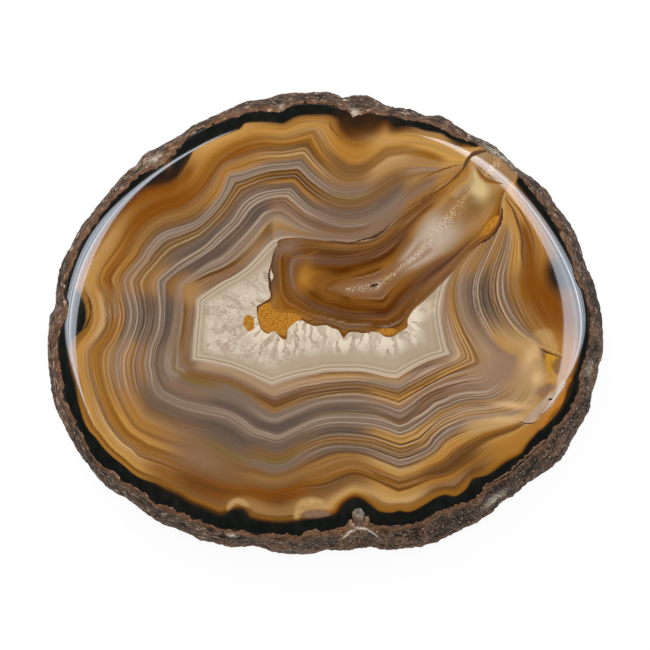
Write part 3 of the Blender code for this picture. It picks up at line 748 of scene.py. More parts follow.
# Spokes cross the bands from the rim to the quartz. Along each, tones are given by band level,
# crisp says how plain the fine lines are, and match moves a level read there to its even place.
spokes = {
    "nearMouth": {
        "line": [(31.0, 38.5), (28.5, 33.2), (27.2, 30.6)],
        "tones": "0 black, 0.85 black, 0.97 soot, 1.15 umber, 1.35 honey, 3 honey, 3.7 tan, 4.5 amber,"
        " 6 amber, 6.6 tan, 7 gold",
        "crisp": [(1, 0.4), (7, 0.5)],
    },
    "topRight": {
        "line": [(24.0, 42.0), (22.0, 33.0), (20.0, 24.2)],
        "tones": "0 black, 0.85 black, 0.97 soot, 1.1 tan, 1.4 honey, 1.75 honey, 1.85 gold, 2.15 gold,"
        " 2.3 tan, 2.8 tan, 2.9 rose, 3.1 rose, 3.3 caramel, 3.6 tan, 3.9 brown, 4.5 mauve, 5.5 caramel,"
        " 6.3 caramel, 6.7 gold, 7 umber",
        "crisp": [(1, 0.4), (3, 0.3), (7, 0.3)],
    },
    "topBend": {
        "line": [(14.5, 43.5), (14.0, 35.0), (13.5, 26.0), (13.2, 19.0)],
        "tones": "0 black, 0.9 black, 1.0 soot, 1.15 umber, 1.35 honey, 1.6 honey, 1.75 gold, 2.0 caramel,"
        " 2.15 sand, 2.7 tan, 2.9 caramel, 3.05 brown, 3.3 brown, 3.6 taupe, 3.9 grey, 4.1 mauve,"
        " 6.2 mauve, 6.7 brown, 7 grey",
        "crisp": [(1, 0.3), (3, 0.25), (7, 0.1)],
    },
    "valley": {
        "line": [(6.0, 43.8), (5.5, 31.0), (5.0, 16.0)],
        "tones": "0 black, 0.8 black, 0.93 soot, 1.05 espresso, 1.2 gold, 1.4 amber, 1.7 amber, 1.85 brown,"
        " 2.05 brown, 2.4 caramel, 2.8 mauve, 3.0 mauve, 3.17 olive, 3.35 brown, 3.6 taupe, 3.9 mauve,"
        " 4.0 ash, 4.15 taupe, 4.6 brown, 5.2 mauve, 6.5 mauve, 6.8 ash, 7 cream",
        "crisp": [(1, 0.2), (3, 0.3), (4.2, 0.2), (5, 0.05)],
    },
    "foldF": {
        "line": [(-1.5, 47.0), (-2.6, 40.1), (-5.4, 33.5), (-7.2, 28.3), (-9.4, 22.9), (-11.3, 16.3)],
        "tones": "0 black, 0.85 black, 0.97 soot, 1.08 brown, 1.25 amber, 1.6 honey, 1.9 caramel,"
        " 2.05 amber, 2.2 gold, 2.35 umber, 2.45 tan, 2.55 brown, 2.65 sand, 2.8 gold, 2.88 grey, 3.0 ash,"
        " 3.1 grey, 3.2 ash, 3.27 umber, 3.4 gold, 3.5 espresso, 3.62 umber, 3.72 gold, 3.8 amber,"
        " 3.86 brown, 3.98 taupe, 4.1 taupe, 4.2 ash, 4.3 taupe, 4.38 ash, 4.5 brown, 4.8 mauve, 5.0 rose,"
        " 5.2 mauve, 5.5 ash, 5.8 cream, 6.3 tan, 6.7 ash, 6.95 milk",
        "crisp": [(1, 0.5), (2, 1.0), (4.4, 1.0), (5, 0.5), (5.6, 0.2)],
        "match": [(3.2, 3.13), (3.72, 3.5), (4.12, 3.8), (4.38, 4.0), (5.0, 4.95)],
    },
    "foldG": {
        "line": [(-24.5, 41.0), (-22.0, 35.6), (-20.7, 30.5), (-16.4, 24.8), (-12.5, 19.5), (-11.3, 16.3)],
        "tones": "0 black, 0.65 black, 0.85 soot, 1.05 honey, 1.3 honey, 1.6 amber, 1.8 gold, 2.0 gold,"
        " 2.3 rust, 2.5 caramel, 2.75 amber, 2.9 tan, 3.0 grey, 3.1 ash, 3.2 grey, 3.3 olive, 3.45 gold,"
        " 3.55 brown, 3.8 taupe, 3.98 ash, 4.05 taupe, 4.15 ash, 4.25 grey, 4.35 ash, 4.45 slate,"
        " 4.9 slate, 5.05 milk, 5.12 ash, 5.35 ash, 5.45 brown, 5.62 cream, 5.7 olive, 5.9 olive,"
        " 6.2 brown, 6.7 mauve, 6.92 brown, 7 milk",
        "crisp": [(1, 0.3), (2.6, 0.5), (2.9, 1.0), (7, 1.0)],
        "match": [(3.2, 3.13), (3.98, 3.8), (4.35, 4.0), (5.05, 4.97)],
    },
    "upperLeft": {
        "line": [(-41.0, 31.0), (-33.0, 22.0), (-26.8, 14.8), (-21.5, 7.5)],
        "tones": "0 black, 0.9 black, 1.0 soot, 1.1 chestnut, 1.3 rust, 1.55 gold, 1.8 rust, 2.2 rust,"
        " 2.5 caramel, 2.8 brown, 2.95 taupe, 3.05 ash, 3.15 grey, 3.28 brown, 3.42 olive, 3.5 olive,"
        " 3.6 taupe, 3.85 slate, 3.93 ash, 4.03 taupe, 4.15 ash, 4.3 ash, 4.4 slate, 4.9 slate, 5.1 ash,"
        " 5.2 ash, 5.35 ash, 5.5 taupe, 5.65 ash, 5.75 olive, 5.9 umber, 6.1 brown, 6.25 rose, 6.4 brown,"
        " 6.8 mauve, 6.95 brown, 7.02 milk",
        "crisp": [(1, 0.2), (2.7, 0.3), (3, 1.0), (7, 1.0)],
        "match": [(3.18, 3.13), (3.93, 3.8), (4.3, 4.0), (5.15, 4.97), (5.65, 5.62)],
    },
    "foldA": {
        "reach": 0.6,
        "line": [(-56.0, 9.5), (-48.2, 8.2), (-42.6, 7.3), (-35.7, 7.2), (-30.0, 6.2), (-27.3, 3.3)],
        "tones": "0 black, 0.85 black, 0.97 soot, 1.1 umber, 1.3 gold, 1.5 honey, 1.6 amber, 1.9 amber,"
        " 2.0 gold, 2.1 amber, 2.3 rust, 2.4 rust, 2.5 amber, 2.75 gold, 2.85 tan, 3.0 mauve, 3.1 tan,"
        " 3.2 tan, 3.3 brown, 3.4 tan, 3.55 caramel, 3.75 tan, 3.9 ash, 4.0 grey, 4.1 ash, 4.25 brown,"
        " 4.6 caramel, 4.85 rose, 5.1 cream, 5.4 rose, 6.0 tan, 6.15 tan, 6.6 tan, 6.9 cream, 7 milk",
        "crisp": [(1, 0.4), (2, 0.9), (4.3, 0.8), (4.8, 0.2), (7, 0.3)],
        "match": [(3.15, 3.13), (3.88, 3.8), (4.12, 4.0), (5.1, 4.97)],
    },
    "left": {
        "line": [(-57.0, -1.0), (-51.0, -0.5), (-27.5, -1.0)],
        "tones": "0 black, 0.9 black, 0.98 soot, 1.03 olive, 1.12 gold, 1.3 gold, 1.37 honey, 1.55 amber,"
        " 1.75 sand, 1.9 honey, 1.97 umber, 2.05 caramel, 2.2 gold, 2.4 gold, 2.5 tan, 2.65 amber,"
        " 2.73 espresso, 2.83 taupe, 2.92 ash, 3.1 grey, 3.17 ash, 3.22 slate, 3.32 taupe, 3.47 slate,"
        " 3.6 taupe, 3.75 taupe, 3.84 grey, 3.95 ash, 4.05 slate, 4.3 slate, 4.6 slate, 4.75 taupe,"
        " 4.85 sage, 4.97 sage, 5.1 grey, 5.25 mauve, 5.4 mauve, 5.6 grey, 5.85 ash, 5.98 tan, 6.05 olive,"
        " 6.15 umber, 6.3 brown, 6.42 mauve, 6.55 brown, 6.8 mauve, 6.95 milk",
        "crisp": [(1, 0.6), (2, 1.0), (4.1, 1.0), (4.6, 0.2), (5.5, 0.3), (6, 0.7)],
        "match": [(3.17, 3.13), (5.95, 5.62)],
    },
    "foldB": {
        "reach": 0.7,
        "line": [(-57.0, -8.0), (-50.0, -8.7), (-43.9, -8.4), (-36.9, -10.9), (-31.9, -11.7), (-28.1, -9.7)],
        "tones": "0 black, 0.85 black, 0.97 soot, 1.1 umber, 1.3 gold, 1.4 amber, 1.55 honey, 1.9 amber,"
        " 2.0 caramel, 2.15 amber, 2.25 gold, 2.4 caramel, 2.7 tan, 2.85 caramel, 2.95 ash, 3.05 rose,"
        " 3.2 tan, 3.35 tan, 3.45 caramel, 3.55 mauve, 3.75 caramel, 3.85 ash, 3.95 rose, 4.1 taupe,"
        " 4.3 taupe, 4.5 grey, 4.8 grey, 5.0 ash, 5.3 ash, 5.6 sage, 5.9 olive, 6.1 ash, 6.3 mauve,"
        " 6.7 brown, 6.9 ash, 7 milk",
        "crisp": [(1, 0.5), (2, 0.9), (4.1, 0.9), (4.8, 0.3), (6, 0.4)],
        "match": [(5.3, 4.97), (6.1, 5.62)],
    },
    "lowerLeft": {
        "line": [(-49.0, -31.0), (-38.0, -23.5), (-28.0, -14.0), (-24.0, -10.4)],
        "tones": "0 black, 0.85 black, 0.97 soot, 1.05 amber, 1.2 gold, 1.3 umber, 1.37 honey, 1.6 honey,"
        " 1.95 sand, 2.03 umber, 2.1 caramel, 2.2 amber, 2.3 gold, 2.45 gold, 2.52 honey, 2.7 amber,"
        " 2.78 brown, 2.85 amber, 3.1 amber, 3.2 tan, 3.4 brown, 3.55 taupe, 3.75 taupe, 3.83 ash,"
        " 3.9 grey, 3.98 ash, 4.1 taupe, 4.5 mauve, 4.7 mauve, 4.8 grey, 5.0 olive, 5.4 olive, 5.8 brown,"
        " 6.1 brown, 6.35 mauve, 6.5 cream, 6.8 cream, 7.0 milk",
        "crisp": [(1, 0.3), (2, 0.6), (2.6, 0.5), (3, 0.3), (3.4, 0.12), (4.1, 0.3), (4.6, 0.05), (6.5, 0.2)],
    },
    "bottomLeft": {
        "line": [(-27.0, -46.0), (-22.0, -29.0), (-17.0, -12.5)],
        "tones": "0 black, 0.85 black, 0.97 soot, 1.1 espresso, 1.22 gold, 1.4 brown, 1.7 rust, 1.85 umber,"
        " 2.0 rust, 2.3 brown, 2.5 brown, 2.9 brown, 3.1 olive, 3.3 taupe, 3.6 slate, 3.8 grey, 3.95 ash,"
        " 4.05 taupe, 4.3 slate, 4.7 grey, 5.2 grey, 5.7 grey, 6.0 olive, 6.2 brown, 6.45 mauve, 6.6 cream,"
        " 7 cream",
        "crisp": [(1, 0.1), (3.5, 0.1), (3.9, 0.35), (4.2, 0.05), (6.5, 0.2)],
    },
    "foldC": {
        "line": [
            (-9.0, -48.0), (-10.0, -38.5), (-10.0, -33.4), (-10.2, -26.0), (-10.8, -20.4), (-11.3, -15.0),
        ],
        "tones": "0 black, 0.8 black, 0.93 soot, 1.05 espresso, 1.15 gold, 1.2 umber, 1.3 tan, 1.45 tan,"
        " 1.65 caramel, 1.75 rust, 2.1 rust, 2.3 brown, 2.6 caramel, 2.8 brown, 3.1 grey, 3.25 olive,"
        " 3.4 brown, 3.6 taupe, 3.8 taupe, 3.95 ash, 4.05 grey, 4.2 slate, 4.6 slate, 4.9 ash, 5.1 grey,"
        " 5.4 grey, 5.8 caramel, 6.0 brown, 6.2 umber, 6.45 mauve, 6.55 cream, 6.85 cream, 7 milk",
        "crisp": [(1, 0.2), (3.5, 0.15), (3.9, 0.4), (4.3, 0.1), (6.4, 0.4)],
    },
    "bottom": {
        "line": [(3.0, -47.0), (3.5, -28.0), (4.0, -12.0)],
        "tones": "0 black, 0.8 black, 0.95 soot, 1.04 chestnut, 1.14 gold, 1.26 honey, 1.4 sand,"
        " 1.55 caramel, 1.7 brown, 2.0 umber, 2.2 gold, 2.4 caramel, 2.65 caramel, 2.72 umber, 2.8 taupe,"
        " 2.93 grey, 3.0 brown, 3.15 caramel, 3.3 taupe, 3.4 slate, 3.6 taupe, 3.72 ash, 3.77 taupe,"
        " 3.87 ash, 3.95 slate, 4.05 olive, 4.2 slate, 4.6 taupe, 4.9 ash, 5.05 grey, 5.4 mauve,"
        " 5.65 cream, 5.75 olive, 6.0 umber, 6.15 taupe, 6.3 brown, 6.45 grey, 6.5 cream, 6.75 tan,"
        " 6.88 brown, 6.94 milk",
        "crisp": [(1, 0.4), (2.5, 0.5), (3, 0.8), (4, 0.8), (4.6, 0.3), (5.5, 0.6), (6, 1)],
        "match": [(3.05, 3.13), (3.72, 3.8), (3.87, 4.0), (4.9, 4.97)],
    },
    "foldD": {
        "line": [(15.5, -46.0), (15.3, -37.8), (15.5, -31.0), (15.6, -23.8), (15.5, -18.5), (15.1, -13.3)],
        "tones": "0 black, 0.8 black, 0.93 soot, 1.05 gold, 1.2 gold, 1.35 caramel, 1.42 sand, 1.85 honey,"
        " 1.95 gold, 2.05 umber, 2.15 gold, 2.25 umber, 2.35 amber, 2.5 honey, 2.65 sand, 2.72 umber,"
        " 2.8 mauve, 2.88 ash, 2.95 ash, 3.0 espresso, 3.07 olive, 3.15 umber, 3.2 honey, 3.27 umber,"
        " 3.33 honey, 3.4 espresso, 3.47 honey, 3.65 honey, 3.72 taupe, 3.8 ash, 3.88 taupe, 3.97 ash,"
        " 4.03 brown, 4.4 taupe, 4.5 mauve, 4.9 ash, 5.0 rose, 5.5 tan, 5.75 gold, 5.85 umber, 6.02 honey,"
        " 6.15 caramel, 6.25 umber, 6.32 tan, 6.45 grey, 6.55 ash, 6.7 cream, 6.85 sand, 7 milk",
        "crisp": [(1, 0.4), (2, 1.0), (7, 1.0)],
        "match": [(4.9, 4.97)],
    },
    "lowerRight": {
        "line": [(27.0, -42.0), (24.0, -25.5), (22.8, -18.5), (21.0, -10.2)],
        "tones": "0 black, 0.8 black, 0.93 soot, 1.05 gold, 1.2 gold, 1.4 umber, 1.5 brown, 1.65 caramel,"
        " 1.9 amber, 2.1 umber, 2.3 umber, 2.45 gold, 2.5 amber, 2.7 honey, 2.78 brown, 2.87 ash,"
        " 2.97 slate, 3.02 umber, 3.07 sand, 3.15 umber, 3.22 honey, 3.3 umber, 3.4 sand, 3.58 tan,"
        " 3.62 umber, 3.7 ash, 3.77 umber, 3.85 milk, 3.93 umber, 4.1 mauve, 4.35 brown, 4.45 espresso,"
        " 4.55 mauve, 4.75 brown, 4.85 ash, 5.0 tan, 5.2 mauve, 5.4 rose, 5.65 umber, 5.9 umber, 6.0 honey,"
        " 6.15 umber, 6.22 honey, 6.3 umber, 6.4 tan, 6.5 ash, 6.65 mauve, 6.75 ash, 6.9 brown, 6.95 milk",
        "crisp": [(1, 0.3), (2.4, 0.6), (2.8, 1.0), (7, 1.0)],
        "match": [(3.05, 3.13), (3.7, 3.8), (3.85, 4.0), (4.85, 4.97)],
    },
    "farLowerRight": {
        "line": [(45.0, -29.0), (34.0, -22.2), (29.0, -16.8), (24.5, -9.0)],
        "tones": "0 black, 0.9 black, 0.98 soot, 1.04 chestnut, 1.12 gold, 1.3 amber, 1.9 amber, 2.1 honey,"
        " 2.25 umber, 2.45 gold, 2.6 sand, 2.9 sand, 3.05 ash, 3.2 tan, 3.4 cream, 3.6 tan, 3.72 grey,"
        " 3.8 ash, 3.87 brown, 3.95 milk, 4.0 brown, 4.4 mauve, 4.7 rose, 4.9 mauve, 5.1 rose, 5.4 tan,"
        " 5.6 umber, 5.75 umber, 5.9 gold, 6.05 honey, 6.2 tan, 6.35 gold, 6.45 ash, 6.6 brown, 6.75 ash,"
        " 6.85 brown, 6.95 milk",
        "crisp": [(1, 0.05), (3, 0.15), (3.6, 0.9), (7, 1.0)],
        "match": [(3.95, 4.0)],
    },
    "foldE": {
        "line": [(56.0, -12.0), (46.0, -10.0), (40.0, -9.5), (34.6, -9.4), (31.7, -10.1), (26.2, -8.4)],
        "tones": "0 black, 0.9 black, 0.98 soot, 1.06 chestnut, 1.2 gold, 1.85 amber, 2.2 honey, 2.35 gold,"
        " 2.5 amber, 2.75 gold, 2.9 taupe, 3.1 sand, 3.5 sand, 3.8 honey, 4.0 mauve, 4.2 rose, 5.0 cream,"
        " 5.6 tan, 5.8 caramel, 6.1 tan, 6.4 tan, 6.6 cream, 6.9 ash, 7 milk",
        "crisp": [(1, 0.02), (4, 0.05), (5.5, 0.3), (6, 0.8)],
    },
    "right": {
        "line": [(57.0, 2.0), (44.0, 3.0), (37.8, 4.0), (31.7, 4.0), (24.7, 4.0)],
        "tones": "0 black, 0.85 black, 0.97 soot, 1.2 umber, 1.5 rust, 1.8 rust, 2.1 rust, 2.35 gold,"
        " 2.5 caramel, 2.8 caramel, 2.92 taupe, 3.0 ash, 3.07 brown, 3.15 tan, 3.22 ash, 3.3 umber,"
        " 3.35 honey, 3.4 taupe, 3.5 slate, 3.6 taupe, 3.75 slate, 3.8 ash, 3.86 taupe, 3.92 ash,"
        " 3.97 taupe, 4.02 milk, 4.08 taupe, 4.5 taupe, 4.8 mauve, 5.0 sage, 5.15 mauve, 5.35 cream,"
        " 5.5 ash, 5.7 olive, 6.0 caramel, 6.4 tan, 6.6 mauve, 6.8 cream, 7 milk",
        "crisp": [(1, 0.02), (2.4, 0.15), (2.9, 1.0), (4.2, 1.0), (4.8, 0.4), (7, 0.3)],
        "match": [(5.15, 4.97)],
    },
    "upperRight": {
        "line": [(52.0, 17.0), (43.0, 16.0), (39.2, 16.0), (35.0, 15.7), (31.5, 14.3)],
        "tones": "0 black, 0.85 black, 0.97 soot, 1.2 umber, 1.55 amber, 1.8 caramel, 1.9 rust, 2.1 rust,"
        " 2.25 brown, 2.4 honey, 2.6 honey, 2.8 amber, 2.95 cream, 3.05 caramel, 3.15 ash, 3.25 brown,"
        " 3.4 tan, 3.5 caramel, 3.7 tan, 4.0 caramel, 5 tan, 6 caramel, 7 caramel",
        "crisp": [(1, 0.1), (2.2, 0.25), (2.8, 0.8), (7, 0.6)],
    },
    "rightMouth": {
        "line": [(45.0, 28.0), (40.5, 24.5), (38.3, 23.4), (37.4, 23.0)],
        "tones": "0 black, 0.85 black, 0.97 soot, 1.2 umber, 1.6 amber, 1.85 honey, 2.3 honey, 3 amber,"
        " 3.6 honey, 4.5 sand, 7 sand",
        "crisp": [(1, 0.3), (7, 0.6)],
    },
}


def spokeWeights(table, x, y):
    # each spoke counts by (reach / distance)^3, so at a spoke its own recipe holds
    weights = []
    for spoke in table.values():
        line = np.array(spoke["line"])
        ahead = (line[-1] - line[-2]) / np.hypot(*(line[-1] - line[-2])) * 2
        apart, _ = nearestOn(np.concatenate([line, [line[-1] + ahead]]), x, y, False)
        weights.append((spoke.get("reach", 1.0) / (apart + 0.15)) ** 3)
    weights = np.array(weights)
    return weights / weights.sum(0)


def evenPlaces(spoke, places):
    # moves levels read along this spoke to where the same growth lines lie on the even scale
    pairs = [(0, 0), (2.8, 2.8)] + spoke.get("match", []) + [(7, 7), (9, 9)]
    return np.interp(places, *zip(*sorted(pairs)))


def toneAlong(spoke, level):
    # colours between the named tones of a recipe, mixed in linear light
    marks = [mark.split() for mark in spoke["tones"].split(",")]
    places = evenPlaces(spoke, [float(place) for place, _ in marks])
    colours = np.array([linear(tone) for _, tone in marks])
    return np.stack([np.interp(level, places, colours[:, i]) for i in range(4)], 1)


def spokeValues(table, x, y, level):
    # the blend of all the spokes' recipes at every point, on the level scale made even
    weights = spokeWeights(table, x, y)
    even = sum(weight * evenPlaces(spoke, level) for weight, spoke in zip(weights, table.values()))
    colour, crisp = np.zeros((len(x), 4)), np.zeros(len(x))
    for weight, spoke in zip(weights, table.values()):
        colour += weight[:, None] * toneAlong(spoke, even)
        crisp += weight * np.interp(even, *zip(*spoke["crisp"]))
    return colour, crisp, even


# The lobe's own spokes, by lobe level
lobeSpokes = {
    "tip": {
        "line": [(-12.2, 9.5), (-9.5, 9.3), (-7.6, 8.8), (-5.2, 7.8), (0.6, 5.6), (4.6, 5.3)],
        "tones": "0 chestnut, 0.15 walnut, 0.45 taupe, 0.65 walnut, 0.9 gold, 1.05 bronze, 1.15 chestnut,"
        " 1.35 bronze, 1.6 copper, 1.85 plum, 2.1 mauve, 2.4 plum, 2.7 bronze, 3.0 bronze, 3.12 gold,"
        " 3.4 copper, 4.0 copper, 4.2 clay, 4.6 clay, 5 rose",
        "crisp": [(0, 0.4), (3, 0.2), (5, 0.1)],
    },
    "top": {
        "line": [(3.0, 16.5), (3.0, 15.3), (3.0, 12.1), (3.5, 10.3), (4.2, 7.2), (5.0, 5.5)],
        "tones": "0 mauve, 0.12 mauve, 0.3 walnut, 0.6 umber, 1.0 copper, 1.15 brown, 1.4 walnut,"
        " 1.6 umber, 1.75 umber, 1.95 plum, 2.2 plum, 2.6 plum, 2.85 bronze, 3.1 chestnut, 3.3 chestnut,"
        " 3.5 bronze, 3.8 copper, 4.05 copper, 4.3 clay, 5 clay",
        "crisp": [(0, 0.5), (2, 0.6), (3, 0.2), (5, 0.1)],
    },
    "topMiddle": {
        "line": [(13.0, 18.8), (13.0, 17.4), (13.0, 15.3), (13.0, 13.2), (13.0, 10.2), (12.5, 7.5)],
        "tones": "0 brown, 0.4 brown, 0.8 brown, 1.2 copper, 1.5 umber, 1.8 walnut, 2.1 plum, 2.4 plum,"
        " 2.65 clay, 2.85 chestnut, 3.1 chestnut, 3.3 bronze, 3.6 copper, 3.8 gold, 4.1 clay, 4.4 clay,"
        " 4.8 caramel, 5 cream",
        "crisp": [(0, 0.5), (2, 0.7), (3, 0.3), (5, 0.1)],
    },
    "upper": {
        "line": [(20.0, 24.8), (20.0, 23.1), (19.6, 21.5), (19.3, 20.4), (20.3, 20.0), (23.0, 17.5)],
        "tones": "0 bronze, 0.3 umber, 0.6 copper, 0.9 umber, 1.3 clay, 1.7 clay, 2.0 bronze, 2.4 umber,"
        " 2.8 bronze, 3.1 clay, 3.4 caramel, 3.8 tan, 4.1 cream, 4.5 milk, 5 milk",
        "crisp": [(0, 0.5), (3, 0.4), (5, 0.1)],
    },
    "mouthLeft": {
        "line": [(28.0, 31.6), (27.8, 29.0), (27.5, 27.0), (27.8, 26.2), (30.0, 25.8)],
        "tones": "0 gold, 0.5 amber, 1.0 amber, 2.0 tan, 2.5 caramel, 3.5 honey, 4.0 honey, 4.3 cream,"
        " 4.8 caramel, 5 sand",
        "crisp": [(0, 0.4), (5, 0.2)],
    },
    "mouthRight": {
        "line": [(38.0, 23.4), (36.9, 22.5), (35.6, 22.0), (34.8, 22.3), (33.7, 22.6), (29.0, 24.5)],
        "tones": "0 rust, 0.6 rust, 1.0 bronze, 1.5 gold, 2.0 gold, 2.5 amber, 3.0 tan, 4.0 tan,"
        " 4.3 caramel, 5 tan",
        "crisp": [(0, 0.3), (5, 0.1)],
    },
    "lowerRight": {
        "line": [(27.5, 9.2), (26.5, 10.3), (25.0, 10.5), (24.0, 11.0), (22.5, 11.7), (19.5, 13.2)],
        "tones": "0 clay, 0.5 clay, 1.0 brown, 1.5 clay, 2.0 plum, 2.4 espresso, 2.7 plum, 3.0 plum,"
        " 3.5 brown, 3.8 clay, 4.1 cream, 4.35 milk, 4.6 rose, 5 milk",
        "crisp": [(0, 0.5), (3, 0.5), (5, 0.2)],
    },
    "corner": {
        "line": [(14.0, -5.3), (12.8, -2.4), (12.9, -0.6), (12.8, 0.9), (12.0, 3.5), (11.5, 6.8)],
        "tones": "0 rust, 0.1 gold, 0.3 gold, 0.55 bronze, 0.8 walnut, 0.93 ash, 1.0 chestnut, 1.1 bronze,"
        " 1.4 umber, 1.8 copper, 2.1 umber, 2.35 plum, 2.6 chestnut, 3.1 chestnut, 3.25 bronze,"
        " 3.35 copper, 3.6 bronze, 3.8 chestnut, 3.9 bronze, 4.0 tan, 4.15 plum, 4.4 clay, 4.8 rose,"
        " 5 rose",
        "crisp": [(0, 0.6), (5, 0.4)],
    },
    "bottom": {
        "line": [(4.0, -4.8), (4.0, -1.5), (4.0, -0.2), (4.0, 1.5), (5.0, 4.3), (6.5, 5.5)],
        "tones": "0 rust, 0.12 bronze, 0.25 gold, 0.5 taupe, 0.8 brown, 0.92 cream, 1.0 umber, 1.15 bronze,"
        " 1.4 umber, 1.8 umber, 2.2 walnut, 2.6 plum, 2.85 bronze, 3.05 chestnut, 3.2 bronze, 3.35 rust,"
        " 3.6 bronze, 3.88 bronze, 3.97 tan, 4.1 plum, 4.3 clay, 4.8 rose, 5 rose",
        "crisp": [(0, 0.4), (2, 0.5), (5, 0.3)],
    },
    "foot": {
        "line": [(-10.0, -4.5), (-7.3, 2.5), (-5.0, 3.1), (-3.2, 4.1), (0.6, 5.6), (4.6, 5.3)],
        "tones": "0 rust, 0.1 gold, 0.3 amber, 0.6 gold, 0.8 rust, 0.9 copper, 1.1 bronze, 1.25 umber,"
        " 1.6 copper, 2.0 umber, 2.3 plum, 2.7 bronze, 2.95 bronze, 3.1 chestnut, 3.25 bronze, 3.6 copper,"
        " 3.8 bronze, 4.1 clay, 4.5 clay, 5 rose",
        "crisp": [(0, 0.2), (2, 0.4), (5, 0.2)],
    },
}


# Stains lie over the bands: tone, strength, place, size, turn
stains = [
    ("rust", 0.5, (7.0, 40.5), (5.4, 3.0), 0.0),
    ("rust", 0.85, (-29.4, 31.0), (1.4, 3.4), -28.0),
    ("soot", 0.9, (-35.0, 29.6), (3.6, 1.2), 24.0),
    ("rust", 0.85, (-33.8, 27.3), (3.8, 1.3), 22.0),
    ("rust", 0.6, (-38.6, 25.4), (3.2, 1.3), 38.0),
    ("walnut", 0.95, (-36.4, 34.4), (2.4, 1.5), 38.0),
    ("walnut", 0.85, (-34.2, 34.4), (0.9, 2.4), 16.0),
    ("sand", 0.5, (-45.9, 16.2), (1.1, 5.4), -32.0),
    ("taupe", 0.4, (-31.0, -25.0), (9.0, 3.6), -32.0),
    ("rose", 0.45, (-26.5, -31.0), (6.0, 2.8), -22.0),
    ("sand", 0.45, (-49.4, 8.6), (1.0, 4.0), -20.0),
    ("sand", 0.4, (11.7, 38.4), (4.0, 1.4), -6.0),
    ("cream", 0.4, (37.0, -13.0), (4.4, 3.4), 10.0),
    ("peach", 0.8, (42.9, -9.8), (1.3, 3.8), -32.0),
    ("peach", 0.8, (44.7, -13.6), (1.4, 1.7), 0.0),
    ("peach", 0.75, (38.8, -19.5), (3.8, 0.7), -6.0),
    ("peach", 0.5, (37.6, -22.6), (4.4, 0.8), 2.0),
    ("soot", 0.95, (6.8, 42.3), (3.4, 2.0), 0.0),
    ("soot", 0.9, (49.0, 8.2), (1.5, 2.6), 12.0),
    ("rust", 0.9, (43.6, 8.0), (2.0, 5.0), -8.0),
    ("umber", 0.7, (31.5, -33.5), (2.6, 1.2), 30.0),
    ("mauve", 0.9, (-8.1, 14.6), (2.6, 1.5), 15.0),
    ("amber", 0.9, (-4.6, 8.2), (1.7, 3.2), -12.0),
    ("honey", 0.7, (39.4, 20.0), (0.8, 3.6), 14.0),
    ("olive", 0.7, (31.6, 24.0), (2.0, 3.2), -30.0),
    ("olive", 0.6, (35.8, 25.4), (1.6, 1.6), 0.0),
    ("butter", 1.5, (33.0, 27.6), (1.7, 2.2), 20.0),
    ("butter", 1.0, (32.2, 30.4), (0.5, 1.5), 12.0),
    ("rose", 0.9, (37.6, -12.2), (5.5, 3.9), 10.0),
    ("umber", 0.6, (30.0, -31.0), (5.0, 2.2), 24.0),
    ("umber", 0.6, (-9.5, -40.2), (3.0, 2.2), 0.0),
    ("rust", 0.6, (-35.0, -33.5), (4.5, 1.8), -38.0),
    ("umber", 0.5, (-27.0, -36.5), (5.0, 2.6), -20.0),
]

